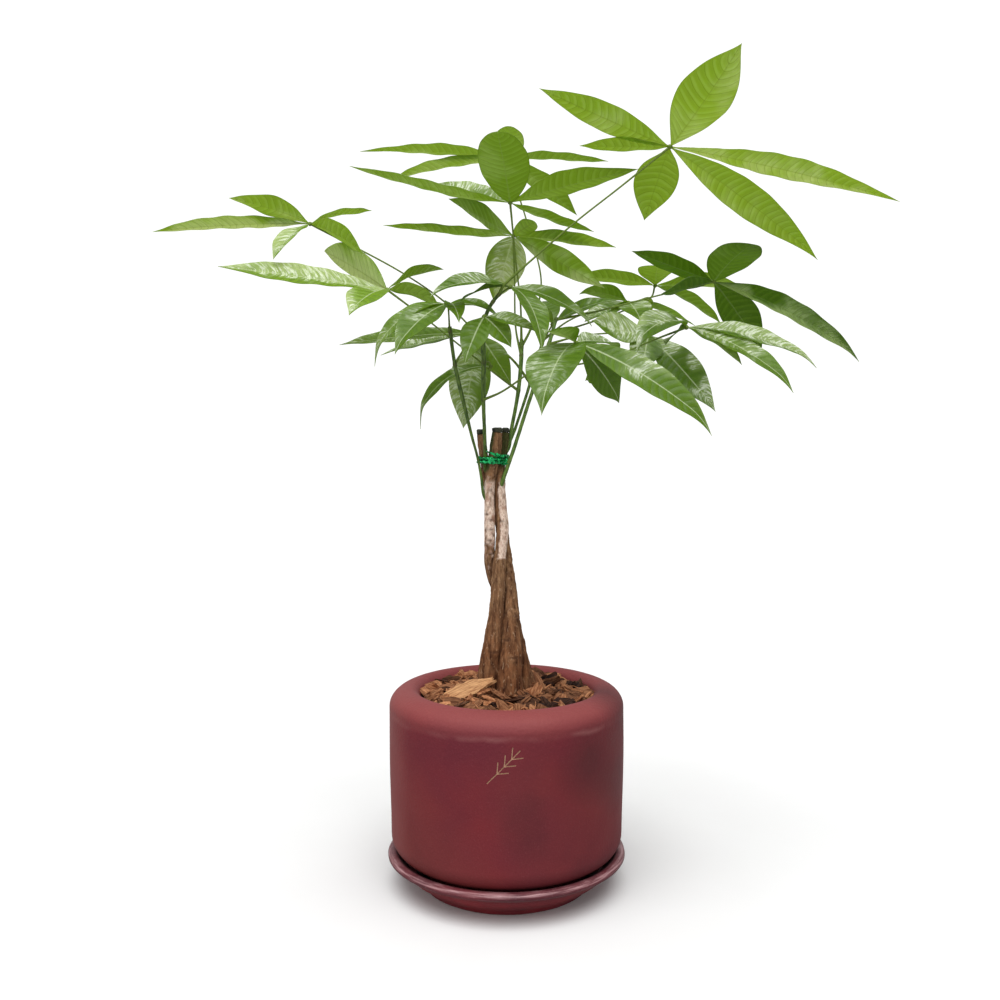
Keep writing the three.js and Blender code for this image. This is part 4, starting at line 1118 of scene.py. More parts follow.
def crumpled(places, angle, along):
    """Sharp folds, and thin ends where the foil is twisted off."""
    folds = np.abs(lumps(places, 2.6, 21)) + 0.5 * np.abs(lumps(places, 1.3, 22)) - 0.35
    ends = np.clip(np.minimum(along, 1 - along) / 0.06, 0, 1)
    return FOIL_CRUMPLE * folds * 2 * (0.3 + 0.7 * ends) - (1 - ends) * 0.7 * FOIL_RADIUS


# %% Winding the tie
TIE_GRID = (11, 170)
STRIP_COUNT = 46
STRIP_LENGTH = 2.6
STRIP_WIDTH = 1.3
BARE_ENDS = 4

twist, _, _ = rolled_stem("foil_twist", tie_route(), [FOIL_RADIUS, FOIL_RADIUS], *TIE_GRID, crumpled)
close_mesh(twist, weld=0.01 * MM)
strip = foil_strip()
strips = []
tie_line = smooth_line(tie_route(), STRIP_COUNT)
tie_sides, tie_ups = carried_frames(tie_line)
for i in range(BARE_ENDS, STRIP_COUNT - BARE_ENDS):
    turn = i * GOLDEN_ANGLE
    out = Vector(math.cos(turn) * tie_sides[i] + math.sin(turn) * tie_ups[i])
    sliver = copied(strip)
    reach = STRIP_LENGTH * draw.uniform(0.75, 1.1)
    move = Matrix.Translation(Vector(tie_line[i]) * MM)
    aim = out.to_track_quat("Z", "Y").to_matrix().to_4x4()
    grow = Matrix.Diagonal((STRIP_WIDTH * MM, STRIP_WIDTH * MM, reach * MM, 1))
    sliver.data.transform(move @ aim @ grow)
    strips.append(sliver)
bpy.data.objects.remove(strip)
foil_tie = join_pieces("foil_tie", [twist] + strips)

# %% Green foil
foil, net, place = new_material("green_foil", Metallic=0.6, Roughness=0.22)
glint = net.noise(place, 420.0, 2.0)
glint = net.spread(glint, 0.42, 0.58)
net.paint(net.mix(glint, (0.0, 0.13, 0.035, 1), (0.02, 0.55, 0.17, 1)))
net.raise_surface(net.noise(place, 600.0, 2.0), 0.4, 0.5 * MM)
dress(foil_tie, foil, 12, "tie", "tie")

# %% [markdown]
# The shoots are young and green. Each leaf leaves its shoot at a swollen node, which is reddish.
# The swelling is part of the shoot's mesh, and the same number that raises it colours it.

# %% Shoots
SHOOTS = {
    "shoot_left": {
        "points": [
            (-14, -3, 318), (-19.3, -4, 327), (-21.4, -5, 341), (-24.3, -7.6, 358),
            (-29, -11.5, 376), (-34, -16, 397), (-43, -26, 437), (-47, -32, 468),
        ],
        "radii": [1.6, 1.1, 1.1, 1.5, 1.8, 1.5, 1.6],
    },
    "shoot_middle": {
        "points": [
            (-16.5, 3, 345), (-18.6, -2.2, 353), (-18.2, -5.6, 362), (-18.4, -9.5, 374),
            (-19.4, -19, 408), (-19, -28, 440), (-18.6, -36, 471), (-12, -42, 486), (-4, -45, 495),
        ],
        "radii": [1.9, 1.6, 1.5, 1.6, 1.9, 2, 1.9, 1.6, 1.3],
    },
    "shoot_right": {
        "points": [
            (-2.4, 4.4, 361), (1.8, 5.5, 368), (3.4, 6.8, 379), (6, 8.2, 393), (9, 10, 409),
            (11.4, 12.6, 427), (13, 17, 450), (13, 18, 462),
        ],
        "radii": [1.8, 1.7, 1.6, 1.7, 1.8, 1.9, 1.6],
    },
    "shoot_back": {
        "points": [
            (-3, 6, 361), (-0.6, 9.4, 367), (3, 12, 373), (6.4, 14, 381), (10.2, 16.5, 392),
            (16, 20, 409), (21, 28, 425), (28.5, 41, 450), (34, 46, 466),
        ],
        "radii": [1.5, 1.3, 1.3, 1.3, 1.4, 1.4, 1.3],
    },
    "shoot_far_right": {
        "points": [
            (-5.5, 0.5, 331), (-3.2, -4.6, 340), (-0.4, -5.6, 348), (2.8, -5.3, 357),
            (6.3, -4, 367), (10.2, -1.5, 379), (19.9, 5, 409), (28.6, 14, 434), (37, 21, 458),
            (44, 28, 482),
        ],
        "radii": [1.8, 1.7, 1.6, 1.6, 1.6, 1.7, 1.7, 1.6],
    },
}
SHOOT_GRID = (20, 140)
NODE_SWELL = 0.4
NODE_LENGTH = 1.1
DARK_SHOOTS = ("shoot_left", "shoot_middle")

# %% [markdown]
# A leaf is a stalk, a small hub, and leaflets that spread from the hub like fingers. The list
# gives each leaf's shoot, its tone from dark to fresh, its hub and the points of its stalk. It
# also gives for each leaflet its painted sheen, from 0 without to 2 with much, its tip, its width,
# how high its midrib arches and which way its upper side faces, all as in the frame. A leaflet's
# outline is two powers: a lower first one widens its foot, a lower second one rounds its tip.

# %% The leaves
SKY = (0, 0.1, 1)
BACK = (0, 0.72, 0.69)
TILTED_BACK = (0, 0.42, 0.9)
TILTED_FRONT = (0, -0.5, 0.86)
FRONT = (0, -0.9, 0.42)
POINTED = (1.35, 1.25)
ROUND = (1.15, 0.75)
EGG = (0.85, 0.64)
OVAL = (0.7, 0.58)
BROAD = (0.95, 0.85)
TEARDROP = (0.8, 1.1)

LEAVES = {
    "leaf_top_right": {
        "shoot": "shoot_middle", "tone": 0.95, "hub": (129, -70, 606),
        "sheen": (0.5, 0.5, 0.35, 0.25, 0.5, 1.2),
        "stalk": [
            (-6, -44.6, 493), (-3, -47, 499), (6, -52, 507), (25, -58, 523), (56, -63, 549),
            (90, -67, 575),
        ],
        "leaflets": [
            ((170, -140, 662), 44, -4, BACK), ((25, -95, 644), 24, -1, BACK),
            ((58, -62, 609), 17, 0, TILTED_BACK), ((115, -20, 558), 36, 2, BACK),
            ((264, -10, 529), 29, 6, BACK), ((318, -50, 568), 25, 4, TILTED_BACK),
        ],
    },
    "leaf_crown_front": {
        "shoot": "shoot_right", "tone": 0.5, "hub": (3, -10, 575), "sheen": (0.25, 0.6, 0.15, 0.5, 1.1),
        "stalk": [(13, 18, 458), (12, 10, 492), (8, 0, 526)],
        "leaflets": [
            ((-7, -103, 609), 41, 3.5, SKY, OVAL), ((-130, -30, 601), 26, -4, SKY),
            ((105, -60, 591), 30, 2, TILTED_BACK), ((78, 40, 560), 20, -2, SKY),
            ((-69, 70, 610), 28, 0, (-0.3, -0.4, 0.87)),
        ],
    },
    "leaf_crown_middle": {
        "shoot": "shoot_right", "tone": 0.72, "hub": (6, 17, 552),
        "sheen": (0.5, 1.2, 0.3, 0.4, 1.4, 1.9),
        "stalk": [(12.5, 16, 448), (8, 22, 472), (7, 22, 512)],
        "leaflets": [
            ((-53, 60, 594), 32, 0, (0.2, 0.5, 0.85)), ((-105, -5, 557), 28, -2, SKY),
            ((24, -22, 556), 14.5, 3, (0.3, 0.7, 0.6), OVAL), ((98, 40, 546), 24, 2, (0, 0.3, 0.95)),
            ((85, 14, 506), 25, 1, (0.2, 0.75, 0.63)),
            ((-12, 40, 499), 35, 3, (0.25, -0.9, 0.3), TEARDROP),
        ],
    },
    "leaf_crown_back": {
        "shoot": "shoot_right", "tone": 0.68, "hub": (-1, 75, 635), "sheen": (0.5, 0.7, 0.3, 0.5, 0.3),
        "stalk": [(13, 17.5, 455), (22, 28, 474), (31, 42, 514), (22, 58, 560), (10, 68, 602)],
        "leaflets": [
            ((-134, 60, 637), 26, 3, SKY), ((-110, 110, 624), 28, 3, SKY),
            ((3, 0, 642.5), 29, -1.5, (0.1, -0.7, 0.7), OVAL), ((93, 60, 628), 24, 1, SKY),
            ((70, 140, 595), 26, 3, (0.2, 0.5, 0.85)),
        ],
    },
    "leaf_left_far": {
        "shoot": "shoot_back", "tone": 0.78, "hub": (-170, 10, 561), "sheen": (0.8, 1.5, 1.3, 0.3, 0.4),
        "stalk": [(20.7, 27.5, 424), (5, 28, 445), (-29, 24, 471), (-52, 20, 493), (-90, 15, 519)],
        "leaflets": [
            ((-235, -10, 579), 28, 3, TILTED_BACK), ((-313, 30, 558), 24, 3, (0, 0.3, 0.95)),
            ((-190, -45, 522), 24, 4, (-0.3, -0.5, 0.8)), ((-123, 60, 583), 16, 3, TILTED_BACK),
            ((-119, -25, 529), 30, 4, (0.3, 0.5, 0.8)),
        ],
    },
    "leaf_left_mid": {
        "shoot": "shoot_right", "tone": 0.7, "hub": (-100, -20, 500),
        "sheen": (1.25, 1.9, 0.7, 0.2, 1.3),
        "stalk": [(10, 11.5, 417), (-12, 6, 433), (-35, 0, 451), (-66, -10, 475)],
        "leaflets": [
            ((-232, -55, 514), 30, 1, (0, -0.65, 0.76)),
            ((-161, 30, 541), 40, 2, (0.3, 0.7, 0.65), BROAD), ((-55, 20, 524), 24, 4, TILTED_BACK),
            ((-57, -16, 489), 22, 4, TILTED_BACK), ((-124, -75, 474), 32, 5, TILTED_FRONT),
        ],
    },
    "leaf_left_tip": {
        "shoot": "shoot_left", "tone": 0.45, "hub": (-48, -36, 486), "sheen": (0.6, 0.5, 0.3, 0.5),
        "stalk": [(-47, -32, 464), (-47.5, -34, 476)],
        "leaflets": [
            ((-108, -60, 442), 17, 14, TILTED_FRONT), ((-87, -88, 444), 30, 7, TILTED_FRONT),
            ((-4, -12, 477), 22, 5, TILTED_FRONT), ((-37, -76, 468), 16, 5, SKY),
        ],
    },
    "leaf_left_low": {
        "shoot": "shoot_left", "tone": 0.55, "hub": (-25, 20, 467), "sheen": (0.7, 0.9, 1, 0.4),
        "stalk": [(-43, -26, 437), (-38, -12, 448), (-31, 6, 461)],
        "leaflets": [
            ((-144, 6, 456), 26, 3, TILTED_FRONT), ((-115, 60, 451), 26, 3, TILTED_FRONT),
            ((-38, 20, 384), 36, 3, FRONT), ((4, 21, 423), 22, 3, FRONT),
        ],
    },
    "leaf_low_curled": {
        "shoot": "shoot_middle", "tone": 0.3, "hub": (-13.5, -1, 437), "sheen": (0.6,),
        "stalk": [(-19, -28, 439), (-15, -15, 440)],
        "leaflets": [
            ((-77, 4, 393), 18, 15, TILTED_FRONT),
        ],
    },
    "leaf_low_centre": {
        "shoot": "shoot_middle", "tone": 0.4, "hub": (-18, -52, 474), "sheen": (0.6, 0.5, 0.1),
        "stalk": [(-18.6, -36, 471), (-17, -44, 476)],
        "leaflets": [
            ((26, -65, 460), 20, 3, TILTED_FRONT), ((4, -62, 449), 18, 4, FRONT),
            ((-33, -75, 436), 22, 5, FRONT),
        ],
    },
    "leaf_top_centre": {
        "shoot": "shoot_middle", "tone": 0.3, "hub": (3, -37, 500), "sheen": (0.6, 0.2, 0.8, 0.6),
        "stalk": [(-11, -42.5, 487), (-4, -38, 495)],
        "leaflets": [
            ((71, -36, 470), 26, 6, TILTED_FRONT), ((27, -104, 446), 27, 9, (0.5, -0.7, 0.5)),
            ((-61, -74, 490), 26, 7, TILTED_FRONT), ((-38, -56, 486), 18, 4, SKY),
        ],
    },
    "leaf_right_small": {
        "shoot": "shoot_back", "tone": 0.35, "hub": (41, 38, 477), "sheen": (0.2, 0.3, 0.6),
        "stalk": [(32, 44, 460), (37, 42, 470)],
        "leaflets": [
            ((96, 20, 497), 26, 4, TILTED_FRONT), ((31, 96, 505), 24, 5, SKY),
            ((22, 8, 490), 14, 3, SKY),
        ],
    },
    "leaf_right_far": {
        "shoot": "shoot_far_right", "tone": 0.04, "hub": (183, 30, 514), "sheen": (0.15, 0, 0, 1.1, 0),
        "stalk": [(43.5, 27.5, 480), (74, 28, 486), (105, 28, 494), (140, 28, 503)],
        "leaflets": [
            ((204, -30, 537), 42, 4, TILTED_BACK, EGG), ((109, 18, 539), 26, 0, TILTED_BACK),
            ((132, 2, 499), 27, 0, TILTED_BACK), ((303, 0, 445), 32, 8, (0, 0.4, 0.92)),
            ((231, 50, 454), 34, 4, (0.3, 0.8, 0.5)),
        ],
    },
    "leaf_right_back": {
        "shoot": "shoot_far_right", "tone": 0.6, "hub": (139, 85, 518), "sheen": (0.1, 0.2, 0.5, 0.4),
        "stalk": [(40, 24, 467), (70, 36, 477), (100, 46, 488), (130, 60, 502)],
        "leaflets": [
            ((136, 44, 531), 34, 4, (0, 0.4, 0.92), ROUND), ((62, 84, 526), 24, 3, TILTED_BACK),
            ((231, 120, 521), 26, 4, TILTED_BACK), ((203, 95, 484), 28, 4, SKY),
        ],
    },
    "leaf_right_long": {
        "shoot": "shoot_far_right", "tone": 0.3, "hub": (148, -35, 467),
        "sheen": (1.1, 0.9, 0.6, 1.1, 0.9),
        "stalk": [(29, 14, 434), (50, 0, 437), (71, -14, 440), (95, -30, 446), (122, -38, 457)],
        "leaflets": [
            ((249, -60, 436), 27, 8, TILTED_FRONT), ((222, -90, 415), 26, 8, TILTED_FRONT),
            ((197, -20, 438), 24, 4, SKY), ((100, -75, 450), 34, 12, TILTED_FRONT),
            ((128, -52, 451), 18, 2, TILTED_BACK),
        ],
    },
    "leaf_right_front": {
        "shoot": "shoot_middle", "tone": 0.3, "hub": (52, -110, 448),
        "sheen": (0.35, 0.75, 0.55, 0.3, 1.1, 0.8),
        "stalk": [(-19.4, -19, 408), (-4, -38, 414), (15, -62, 426), (36, -92, 440)],
        "leaflets": [
            ((23, -190, 397), 42, 9, SKY), ((148, -150, 384), 27, 10, (-0.2, -0.7, 0.68)),
            ((63, -62, 424), 34, 6, FRONT), ((88, -80, 405), 30, 5, FRONT),
            ((27, -150, 452), 26, 4, SKY), ((89, -72, 446), 28, 4, TILTED_FRONT),
        ],
    },
    "leaf_right_low": {
        "shoot": "shoot_far_right", "tone": 0.3, "hub": (121, -2, 464), "sheen": (1.2, 0.5, 0.85),
        "stalk": [(37, 21, 458), (62, 14, 464), (92, 4, 466)],
        "leaflets": [
            ((71, -24, 474), 34, -3, (0, -0.8, 0.6)), ((112, -26, 432), 28, 3, FRONT),
            ((170, -46, 399), 30, 5, (-0.3, -0.75, 0.6)),
        ],
    },
    "leaf_right_behind": {
        "shoot": "shoot_back", "tone": 0.5, "hub": (112, 68, 500),
        "sheen": (0.3, 0.2, 0.3, 0.1, 0.8, 1),
        "stalk": [(34.5, 46.5, 465), (56, 58, 482), (84, 64, 494)],
        "leaflets": [
            ((66, 66, 509), 24, 5, TILTED_BACK), ((88, 50, 484), 22, 4, SKY),
            ((140, 122, 495), 24, 5, SKY), ((172, 60, 478), 24, 3, (0, -0.3, 0.95)),
            ((118, 22, 478), 30, 3, (0, -0.7, 0.6)), ((70, 46, 480), 27, 3, (0, -0.5, 0.8)),
        ],
    },
}
print("leaflets:", sum(len(leaf["leaflets"]) for leaf in LEAVES.values()))

# %% Growing the shoots
def node_marks(shoot_name):
    """The places where leaves leave this shoot."""
    return [leaf["stalk"][0] for leaf in LEAVES.values() if leaf["shoot"] == shoot_name]


def grow_shoot(name):
    made = SHOOTS[name]
    marks = np.array(node_marks(name), float)

    def near_node(places):
        distance = np.linalg.norm(places[:, None] - marks[None], axis=2).min(axis=1)
        return np.exp(-(np.maximum(distance - 1, 0) / NODE_LENGTH) ** 2)

    def relief(places, angle, along):
        return NODE_SWELL * near_node(places) + 0.12 * lumps(places, 5, 6)

    obj, _, _ = rolled_stem(f"green_{name}", made["points"], made["radii"], *SHOOT_GRID, relief)
    mark_points(obj, "node", near_node(read_points(obj) / MM))
    mark_points(obj, "tone", 0.0 if name in DARK_SHOOTS else 0.8)
    return close_mesh(obj, weld=0.01 * MM)


shoot_skin, net, place = new_material("shoot_skin", Roughness=0.5, Specular_IOR_Level=0.4)
stripes = net.noise(net.stretched(place, (1, 1, 0.2)), 500.0, 3.0)
deep = net.mix(net.attribute("tone"), (0.045, 0.09, 0.012, 1), (0.06, 0.13, 0.016, 1))
fresh = net.mix(net.attribute("tone"), (0.12, 0.2, 0.03, 1), (0.17, 0.29, 0.045, 1))
green = net.mix(net.spread(stripes, 0.38, 0.62), deep, fresh)
red = net.times(net.attribute("node"), 0.6)
net.paint(net.mix(red, green, (0.1, 0.045, 0.025, 1)))
net.raise_surface(stripes, 0.3, 0.3 * MM)
for shoot_name in SHOOTS:
    dress(grow_shoot(shoot_name), shoot_skin, 60, "green_shoot", shoot_name)

# %% [markdown]
# A leaflet starts as a flat grid. Its outline is a formula, its midrib follows an arched line,
# its halves rise in a shallow V and its edges wave. Between the side veins the blade swells like
# a quilt. The grid stores where each point lies between the side veins, so that the material
# can draw the veins exactly in the furrows. Solidify then makes the blade a closed thin body,
# and gives its lower side the material of the underside.

# %% The outline of a leaflet
def half_width(along, outline):
    """The share of the half width along a leaflet, largest 1."""
    rise, fall = outline
    peak = rise / (rise + fall)
    return (along ** rise) * ((1 - along) ** fall) / (peak ** rise * (1 - peak) ** fall)


def unit(vector):
    return vector / np.linalg.norm(vector, axis=-1, keepdims=True)


# %% The midrib of a leaflet
BEND_AT = 0.45
LEAFLET_ROOT = 1.6
HOOK_FROM = 0.84
HOOK_SHARE = 0.8


def midrib_frame(hub, tip, arch, up, along):
    """The arched midrib, the ways across and out of the blade, each row's share, the length."""
    start, end = np.array(hub, float), np.array(tip, float)
    length = np.linalg.norm(end - start)
    chord = unit(end - start)
    normal = unit(np.array(up) - chord * np.dot(up, chord))
    side = np.cross(chord, normal)
    bend = start + (end - start) * BEND_AT + normal * 2 * arch
    root = LEAFLET_ROOT / length
    t = (root + (1 - root) * along)[:, None]
    midrib = (1 - t) ** 2 * start + 2 * t * (1 - t) * bend + t ** 2 * end
    hook = HOOK_SHARE * max(arch - 3, 0) * np.clip((t - HOOK_FROM) / (1 - HOOK_FROM), 0, 1) ** 2
    midrib = midrib + hook * np.array((-0.4 * chord[0], 0, -1))
    tangent = unit(2 * (1 - t) * (bend - start) + 2 * t * (end - bend))
    face = unit(normal - tangent * (tangent @ normal)[:, None])
    return midrib, side, face, t[:, 0], length


# %% The swell and the waves of a blade
BLADE_FOLD = 0.24
BLADE_WAVE = 0.8
WAVE_TURNS = 8
EDGE_WAVE = 0.5
EDGE_WAVE_LENGTH = 26
QUILT_HEIGHT = 0.3
LIVELY = (POINTED, BROAD, TEARDROP)


def blade_lift(t, length, across, half, share, quilt, phase, outline):
    """How far each point stands out of the flat blade: the fold, the waves and the quilt."""
    reach = np.abs(across)
    calm = 1.0 if outline in LIVELY else 0.3
    wave = calm * BLADE_WAVE * np.sin(WAVE_TURNS * t + phase + across)
    wave = wave * np.clip(share / 0.3 - 0.5, 0, 1)
    edge_turn = 2 * np.pi * t * length / EDGE_WAVE_LENGTH + 2 * phase + 1.3 * np.sign(across)
    edge_wave = EDGE_WAVE * np.sin(edge_turn) * reach ** 3 * share
    lift = reach ** 1.15 * calm * BLADE_FOLD * half + reach * wave + edge_wave
    return lift + QUILT_HEIGHT * (quilt - 0.5) * np.minimum(share * 1.5, 1)


# %% Growing a leaflet
BLADE_COLUMNS = 14
BLADE_ROWS = 96
NECK_HALF_WIDTH = 0.6
VEIN_SPACING = 6.4
VEIN_SWEEP = 1.35
SWEPT_WIDTH = 34
RIB_HALF_WIDTH = (1.0, 0.35)
SHEEN_LEAN = 0.55


def grow_leaflet(hub, row, phase, tone, sheen):
    tip, width, arch, up = row[:4]
    outline = row[4] if len(row) > 4 else POINTED
    obj, across, along = flat_grid("leaflet", BLADE_COLUMNS, BLADE_ROWS)
    across = across * 2 - 1
    midrib, side, face, t, length = midrib_frame(hub, tip, arch, up, along)
    share = half_width(t, outline)
    half = np.maximum(share * width / 2, NECK_HALF_WIDTH * (1 - t) ** 0.3 + 0.05)
    reach = np.abs(across)
    between_veins = t * length / VEIN_SPACING - VEIN_SWEEP * reach ** 1.35 * width / SWEPT_WIDTH
    between_veins += 0.06 * np.sin(3.1 * t * length / VEIN_SPACING + phase)
    quilt = np.sin(np.pi * between_veins) ** 2 * (1 - reach ** 2) * np.minimum(reach * 4, 1)
    lift = blade_lift(t, length, across, half, share, quilt, phase, outline)
    places = midrib + side * (across * half)[:, None] + face * lift[:, None]
    write_points(obj, places * MM)
    rib = RIB_HALF_WIDTH[0] + (RIB_HALF_WIDTH[1] - RIB_HALF_WIDTH[0]) * t
    mark_points(obj, "vein", between_veins)
    mark_points(obj, "rib", reach * half / rib)
    mark_points(obj, "inward", (1 - reach) * half)
    mark_points(obj, "tone", tone)
    # The half that lies towards the back, whose face turns to the front, carries more painted sheen.
    far_half = across * np.sign(side[1])
    mark_points(obj, "sheen", sheen * (1 + SHEEN_LEAN * far_half))
    return obj


# %% Making the blades closed bodies
BLADE_THICKNESS = 0.45


def thicken_blades(obj):
    sides = {"material_offset": 1, "material_offset_rim": 0}
    apply_modifier(obj, "SOLIDIFY", thickness=BLADE_THICKNESS * MM, offset=0, **sides)


# %% [markdown]
# Both sides of a leaf share the same veins, so the masks come from one shader node group. It
# turns the numbers stored with the points into the lines of the veins, the swell between them,
# and painted shading that rises from dark to light across each field, as light from one side would
# fall on the quilt.

# %% Vein masks
VEIN_WIDTH = 0.2


def vein_group():
    """A shader node group that turns the stored places into masks of the veins."""
    stored = ("Between veins", "Rib distance", "Edge distance", "Line width")
    masks = ("Midrib", "Side veins", "Swell", "Painted relief shading", "Edge")
    group, inside, start, end = new_group("Leaf veins", stored, masks)
    wave = inside.math("SINE", inside.times(start["Between veins"], math.pi))
    wave = inside.math("ABSOLUTE", wave)
    line = inside.spread(wave, 0, start["Line width"], 1, 0)
    fade = inside.spread(start["Edge distance"], 0.3, 3.0, 0.25, 1)
    inside.feed(inside.spread(start["Rib distance"], 0.35, 1.1, 1, 0), end["Midrib"])
    inside.feed(inside.times(line, fade), end["Side veins"])
    inside.feed(inside.times(wave, fade), end["Swell"])
    # Painted shading that rises from dark to light across each field between the veins.
    turn = inside.math("SINE", inside.times(start["Between veins"], 2 * math.pi))
    inside.feed(inside.times(inside.spread(turn, -1, 1), fade), end["Painted relief shading"])
    inside.feed(inside.spread(start["Edge distance"], 0.1, 0.6, 1, 0), end["Edge"])
    return group


VEINS = vein_group()


def veins(net):
    sockets = {"Between veins": "vein", "Rib distance": "rib", "Edge distance": "inward"}
    inputs = {socket: net.attribute(stored) for socket, stored in sockets.items()}
    inputs["Line width"] = VEIN_WIDTH
    return net.add("ShaderNodeGroup", inputs, node_tree=VEINS).outputs


# %% [markdown]
# The sheen is painted into the colour: pale patches of painted reflection stand for the gloss of
# the leaves. Its soft part is a haze, and its crisp part is streaks along the side veins that end
# sharply. How much of both a leaflet has comes from its sheen. The shader takes nothing from the
# camera, so the painted patches stay where they are when the plant is seen from elsewhere.

# %% Painted sheen
def painted_sheen_group():
    """A shader node group: painted sheen, pale patches with crisp ends drawn out along the side veins.
    """
    stored = ("Place", "Between veins", "Edge distance", "Leaflet", "Sheen")
    group, inside, start, end = new_group("Painted sheen", stored, ("Soft", "Crisp", "Fine"))
    outwards = inside.times(start["Edge distance"], 0.035)
    own_pattern = inside.times(start["Leaflet"], 60)
    vein_place = inside.joined(start["Between veins"], outwards, own_pattern)
    streaks = inside.noise(vein_place, 3.2, 3.0, 0.6)
    broad = inside.noise(start["Place"], 30.0, 2.0)
    fine = inside.noise(start["Place"], 260.0, 3.0, 0.6)
    level = inside.math("ADD", broad, inside.math("MULTIPLY_ADD", start["Sheen"], 0.13, -0.11))
    soft = inside.spread(level, 0.42, 0.6, 0, 0.38)
    crisp = inside.times(inside.spread(streaks, 0.48, 0.59), inside.spread(level, 0.47, 0.54))
    crisp = inside.times(crisp, inside.spread(fine, 0.34, 0.5, 0.4, 1))
    strength = inside.spread(start["Sheen"], 0, 2, 0.1, 2)
    inside.feed(inside.times(soft, strength), end["Soft"])
    even = inside.spread(start["Sheen"], 1.2, 1.9, 1, 0.3)
    crisp = inside.math("MULTIPLY", crisp, inside.times(strength, even), clamp=True)
    inside.feed(crisp, end["Crisp"])
    inside.feed(fine, end["Fine"])
    return group


PAINTED_SHEEN = painted_sheen_group()


def painted_sheen_patches(net, place):
    sockets = {"Between veins": "vein", "Edge distance": "inward", "Leaflet": "tone", "Sheen": "sheen"}
    inputs = {socket: net.attribute(stored) for socket, stored in sockets.items()}
    inputs["Place"] = place
    return net.add("ShaderNodeGroup", inputs, node_tree=PAINTED_SHEEN).outputs


# %% [markdown]
# The upper side is a deeper green that painted sheen covers in patches. The underside is
# yellow-green and lets more light through. The greens run with a leaf's tone, and on the underside
# a dark and a light copy paint shade and highlight across each field between the veins.

# %% The upper side of a leaf
UPPER_SHARE = 0.36
DEEP_GREEN = (0.055, 0.115, 0.007, 1)
FRESH_GREEN = (0.185, 0.33, 0.018, 1)
PAINTED_SHEEN_HAZE = (0.5, 0.6, 0.28, 1)
PAINTED_SHEEN_PALE = (0.85, 0.9, 0.76, 1)


def upper_side():
    """The upper side: green, with painted sheen in patches, painted shade across the quilt and a pale
    midrib.
    """
    finish = {"Roughness": 0.35, "Specular_IOR_Level": 0.3}
    material, net, place = new_material("leaf_upper_side", **finish)
    masks = veins(net)
    tone = net.attribute("tone")
    sheen_masks = painted_sheen_patches(net, place)
    fine = sheen_masks["Fine"]
    blotch = net.noise(place, 55.0, 3.0)
    green = net.mix(tone, DEEP_GREEN, FRESH_GREEN)
    green = net.mix(net.spread(blotch, 0.42, 0.6, 0, 0.4), green, (0.1, 0.18, 0.014, 1))
    # Painted shade on one side of each field between the veins.
    green = net.mix(net.times(masks["Painted relief shading"], 0.45), green, (0.035, 0.08, 0.008, 1))
    # Painted sheen: a soft haze and crisp pale streaks.
    colour = net.mix(sheen_masks["Soft"], green, PAINTED_SHEEN_HAZE)
    colour = net.mix(sheen_masks["Crisp"], colour, PAINTED_SHEEN_PALE)
    colour = net.mix(net.times(masks["Side veins"], 0.35), colour, (0.04, 0.09, 0.012, 1))
    colour = net.mix(net.times(masks["Midrib"], 0.8), colour, (0.6, 0.68, 0.42, 1))
    net.paint(colour)
    net.roughen(net.spread(fine, 0.3, 0.7, 0.3, 0.48))
    height = net.math("ADD", masks["Swell"], net.times(fine, 0.5))
    net.raise_surface(height, 0.6, 0.6 * MM)
    lit = net.mix(tone, (0.42, 0.66, 0.08, 1), (0.9, 1.0, 0.3, 1))
    net.let_light_through(lit, UPPER_SHARE)
    return material


# %% The underside of a leaf
UNDER_SHARE = 0.5
DEEP_OLIVE = (0.078, 0.15, 0.009, 1)
YELLOW_GREEN = (0.35, 0.61, 0.024, 1)


